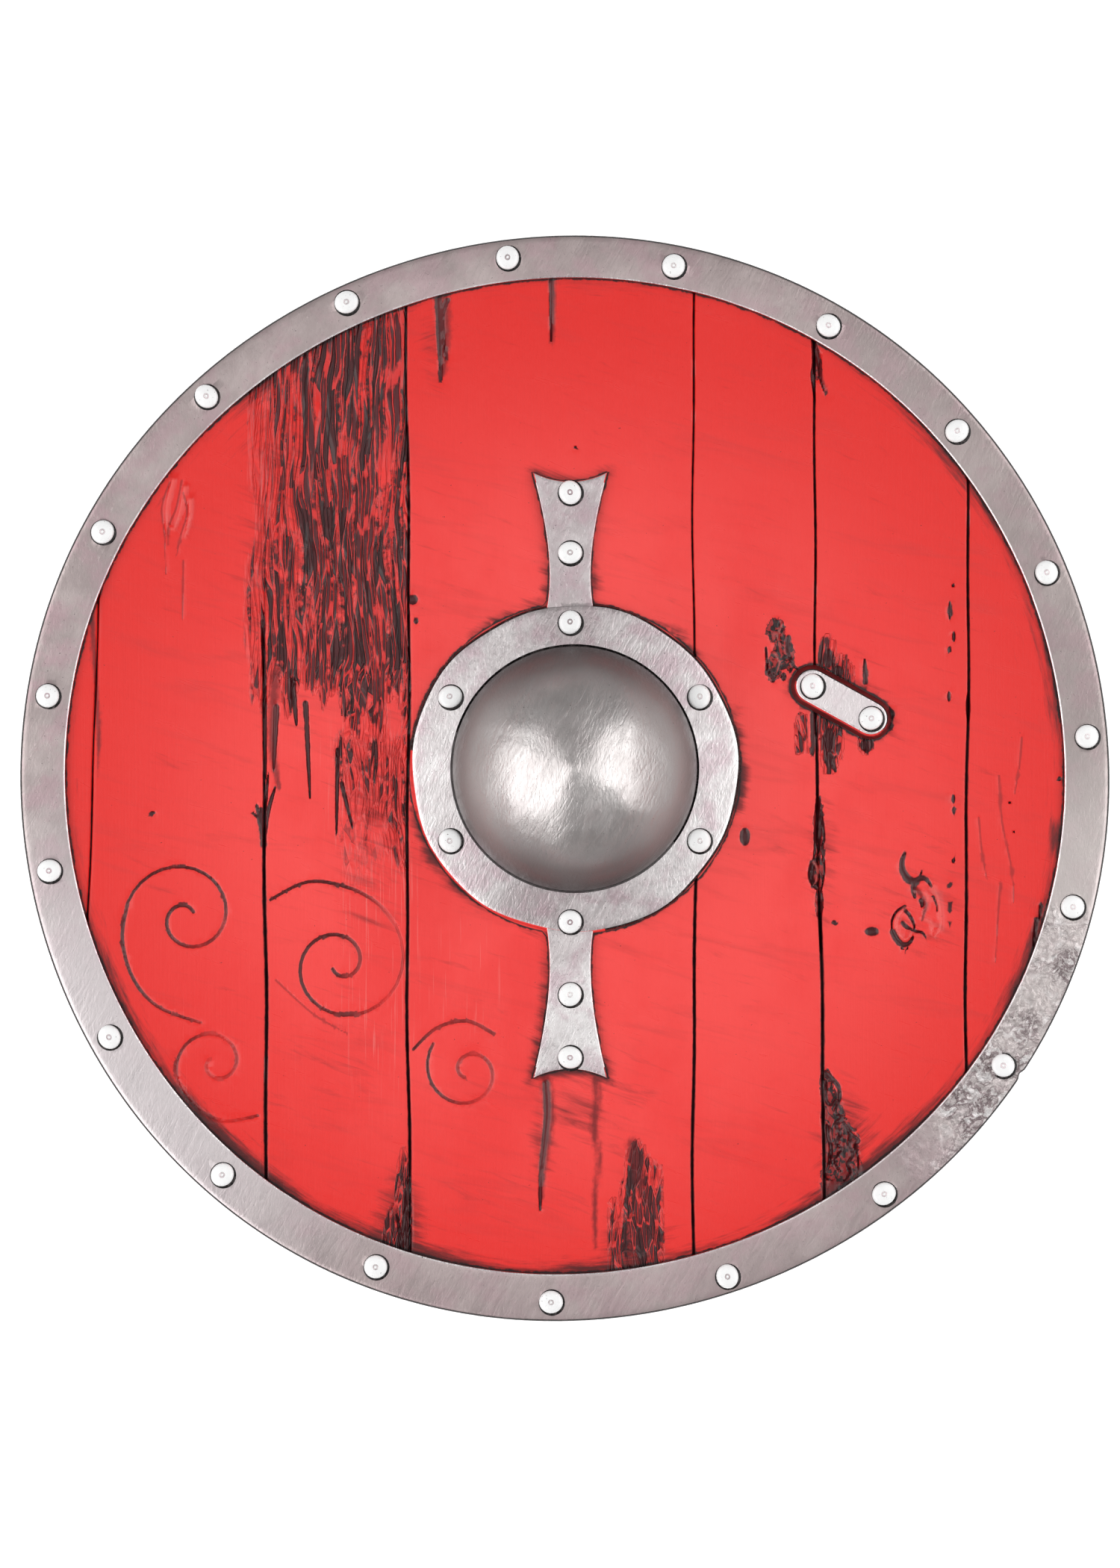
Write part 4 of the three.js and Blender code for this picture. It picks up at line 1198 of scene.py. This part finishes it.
def strap_gap(x, y):
    """Distance outside the flange and the strap, at the face."""
    bx, by = x - BOSS.x, y - BOSS.y
    gaps = [np.hypot(bx, by) - FLANGE_FOOT]
    for length, side in ((STRAP_UP, 1), (STRAP_DOWN, -1)):
        across, along = abs(bx - STRAP_SHIFT), side * by
        beside = across - strap_half_width(np.clip(along, strap_start, length), length)
        beyond = along - strap_end(np.minimum(across, STRAP_TIP), length)
        gaps.append(np.maximum(np.maximum(beside, beyond), strap_start - along))
    return np.min(gaps, axis=0)


def patch_gap(x, y):
    """Distance outside the foot of the patch plate."""
    turn = -PATCH_TURN
    px = (x - PATCH.x) * math.cos(turn) - (y - PATCH.y) * math.sin(turn)
    py = (x - PATCH.x) * math.sin(turn) + (y - PATCH.y) * math.cos(turn)
    past_nails = np.maximum(abs(px) - PATCH_NAIL_GAP / 2, 0)
    return np.hypot(past_nails, py) - PATCH_RINGS[1][0]


def plate_gap(x, y):
    return np.minimum(strap_gap(x, y), patch_gap(x, y))


def bore_gap(x, y):
    """Distance inside the bore of the rim band."""
    angle = np.arctan2(y - RIM_BORE_SHIFT, x)
    bore = FACE_RADIUS * (1 + outline_wave(angle) / SHIELD_RADIUS)
    return bore - np.hypot(x, y - RIM_BORE_SHIFT)


# Where the black was rubbed in and wiped: angle, spread and strength along the rim, then spots
RIM_SMUDGES = [(122, 10, 0.95), (205, 14, 0.55), (228, 14, 0.9), (252, 12, 0.85), (275, 12, 0.75),
               (308, 15, 0.8), (338, 14, 0.6), (12, 10, 0.5), (38, 16, 0.5), (85, 12, 0.2)]
SMUDGE_SPOTS = [
    (-92, -250, 14, 26, 0.6), (40, -262, 18, 20, 0.6), (-108, -20, 26, 60, 0.3), (-135, -150, 30, 40, 0.15),
    (-150, 150, 30, 110, 0.3), (-72, 240, 8, 26, 0.35), (35, -178, 22, 26, 0.15), (-30, -238, 40, 14, 0.16),
    (145, -40, 8, 34, 0.35), (198, -72, 20, 28, 0.25), (158, -210, 16, 34, 0.5),
    (-12, -196, 7, 28, 0.4), (14, -184, 9, 18, 0.45), (3, -184, 18, 16, 0.42), (276, -32, 5, 11, 0.75),
]
PLATE_SMUDGES = [
    (-78, -36, 14, 26, 0.9), (-58, -66, 16, 14, 0.6), (99, -2, 10, 20, 0.9), (98, 24, 10, 16, 0.6),
    (-45, 88, 22, 12, 0.6), (62, 80, 18, 14, 0.8), (-16, 112, 12, 16, 0.7), (22, 112, 10, 12, 0.7),
    (-20, -128, 12, 34, 0.8), (28, -126, 12, 26, 0.6), (2, -168, 28, 14, 0.9), (2, 176, 26, 10, 0.6),
    (155, 42, 40, 34, 0.35),
]


def weighted_spots(x, y, spots):
    return most([strength * spot_cover(x, y, spot) for *spot, strength in spots])


def smudge_cover(x, y):
    """Black rubbed in by the rim, by the plates, on the walls of the patch and in spots."""
    angle = np.degrees(np.arctan2(y, x))
    along = [s * np.exp(-(((angle - a + 180) % 360 - 180) / w) ** 2) for a, w, s in RIM_SMUDGES]
    by_rim = ease(-bore_gap(x, y), -12, 0) * (0.06 + 1.1 * most(along))
    beside = weighted_spots(x, y, PLATE_SMUDGES)
    by_plate = ease(-plate_gap(x, y), -9, -0.5) * (0.06 + 0.85 * beside)
    by_plate = by_plate * ease(strap_gap(x, y), -0.9, -0.3)
    into = -patch_gap(x, y)
    lower_side = y - PATCH.y < 0.55 * (PATCH.x - x)
    patch_walls = ease(into, -0.8, 0.3) * (1 - 0.75 * ease(into, 1.5, 2.4) * lower_side)
    return most([by_rim, by_plate, patch_walls, weighted_spots(x, y, SMUDGE_SPOTS)])


fields = {
    "fray": fray_cover(x, y) * ease(plate_gap(x, y), -0.4, 0.2),
    "ink": ink_cover(x, y),
    "swirl": swirl_cover(x, y),
    "score": score_cover(x, y),
    "ridge": ridge_cover(x, y),
    "faint": faint_cover(x, y),
    "pale": spots_cover(x, y, PALE_SPOTS),
    "stain": strokes_cover(x, y, STAINS),
    "blister": blister_cover(x, y),
    "joint": np.minimum(joint_line(x, y) + 2.6 * spot_cover(x, y, TORN_JOINT), 9),
    "smudge": smudge_cover(x, y),
    "foot": np.clip(np.minimum(plate_gap(x, y), bore_gap(x, y)), -4, 20),
}
for name, values in fields.items():
    layer = shield.data.attributes.new(name, "FLOAT", "POINT")
    layer.data.foreach_set("value", np.ascontiguousarray(values, dtype=np.float32))

MM = Matrix.Scale(0.001, 4)
shield.data.transform(MM)
shield.data.shade_smooth()
shield.data.set_sharp_from_angle(angle=math.radians(38))
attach(shield, "root")
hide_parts("moulded_shield")

# Hand grip. A turned handle worked from one piece of dark stained wood with the flat lath that is
# glued into the pocket at both ends.
HANDLE_LENGTH, HANDLE_RADIUS, HANDLE_END_RADIUS = 98.0, 13.0, 9.5
handle_profile = [(0, -HANDLE_LENGTH / 2)]
handle_steps = 28
for number in range(handle_steps + 1):
    along = HANDLE_LENGTH * (number / handle_steps - 0.5)
    swell = max(math.cos(math.pi * along / HANDLE_LENGTH), 0) ** 0.6
    handle_profile.append((HANDLE_END_RADIUS + (HANDLE_RADIUS - HANDLE_END_RADIUS) * swell, along))
handle_profile.append((0, HANDLE_LENGTH / 2))
handle = spun(handle_profile, 40)
upright = Matrix.Translation(BOSS + Vector((0, 0, GRIP_INSET + HANDLE_RADIUS)))
bmesh.ops.transform(handle, verts=handle.verts, matrix=upright @ Matrix.Rotation(math.pi / 2, 4, "Y"))
lath = block((GRIP_LENGTH, GRIP_WIDTH, GRIP_LATH), BOSS + Vector((0, 0, GRIP_INSET + GRIP_LATH / 2)))
bmesh.ops.bevel(lath, geom=list(lath.edges), offset=1.2, offset_type="OFFSET", segments=3, profile=0.5,
                affect="EDGES", material=-1)

grip_wood, tree, shader = new_paint("grip_wood", Specular_IOR_Level=0.4)
place = object_place(tree)
growth = grain(place, (120, 5, 5), 4, 0.6, 0.8)
pores = grain(place, (14, 0.7, 0.7), 3, 0.6)
colour = blend(step(growth, 0.35, 0.65), (0.055, 0.024, 0.011, 1), (0.16, 0.075, 0.035, 1))
colour = blend(step(pores, 0.58, 0.70, 0.7), colour, (0.02, 0.010, 0.006, 1))
feed(shader, Base_Color=colour, Roughness=plus(step(growth, 0.3, 0.7, 0.15), 0.40))
bump(shader, pores, 0.0003)
grip = as_object("hand_grip_wood", lath, [grip_wood])
carve(grip, handle, "UNION")
grip.data.transform(MM)
grip.data.shade_smooth()
grip.data.set_sharp_from_angle(angle=math.radians(40))
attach(grip, "root")
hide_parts("hand_grip")

# Studio: a pale floor, a soft light low on each side and a large dim one above, and the camera
# looking straight down on the shield as it lies.
floor_mesh = bmesh.new()
bmesh.ops.create_grid(floor_mesh, x_segments=1, y_segments=1, size=25)
floor_paint, tree, shader = new_paint(
    "white_floor", Base_Color=(0.9, 0.9, 0.9, 1), Roughness=0.9, Specular_IOR_Level=0.0,
    Emission_Color=(1, 1, 1, 1), Emission_Strength=0.6)
floor = as_object("floor", floor_mesh, [floor_paint])
floor.data.transform(Matrix.Translation((0, 0, -0.0005)))


def soft_light(name, spot, wide, tall, power):
    """A soft box that faces the middle of the shield."""
    lamp = bpy.data.lights.new(name, "AREA")
    lamp.shape = "RECTANGLE"
    lamp.size, lamp.size_y = wide, tall
    lamp.energy = power
    made = bpy.data.objects.new(name, lamp)
    made.location = spot
    made.rotation_euler = (-Vector(spot)).to_track_quat("-Z", "Y").to_euler()
    bpy.context.scene.collection.objects.link(made)


soft_light("left_softbox", (-1.62, -0.45, 1.4), 3.6, 1.7, 38.5)
soft_light("right_softbox", (1.65, 0.15, 1.4), 3.0, 1.5, 28)
soft_light("overhead", (0, 0.18, 3.4), 3.2, 1.0, 9)
world = bpy.data.worlds.new("studio")
world.use_nodes = True
sky = world.node_tree.nodes["Background"]
sky.inputs["Color"].default_value = (1, 1, 1, 1)
seen = add(world.node_tree, "LightPath").outputs["Is Camera Ray"]
feed(sky, Strength=calc("MULTIPLY_ADD", seen, 0.68, 0.32))
bpy.context.scene.world = world
bpy.context.scene.view_settings.view_transform = "Standard"

PHOTO_WIDTH, PHOTO_HEIGHT = 1500, 2100
SHIELD_CENTRE_PIXEL = (756.5, 1042.4)
SHIELD_PIXELS_ACROSS = 1460.2
metres_per_pixel = 2 * SHIELD_RADIUS * 0.001 / SHIELD_PIXELS_ACROSS
CAMERA_HEIGHT = 2.4
camera_data = bpy.data.cameras.new("camera")
camera_data.sensor_fit = "VERTICAL"
camera_data.sensor_height = 36
camera_data.lens = 36 * (CAMERA_HEIGHT - RIM_TOP * 0.001) / (PHOTO_HEIGHT * metres_per_pixel)
camera = bpy.data.objects.new("camera", camera_data)
camera.location = ((PHOTO_WIDTH / 2 - SHIELD_CENTRE_PIXEL[0]) * metres_per_pixel,
                   (SHIELD_CENTRE_PIXEL[1] - PHOTO_HEIGHT / 2) * metres_per_pixel, CAMERA_HEIGHT)
bpy.context.scene.collection.objects.link(camera)
bpy.context.scene.camera = camera
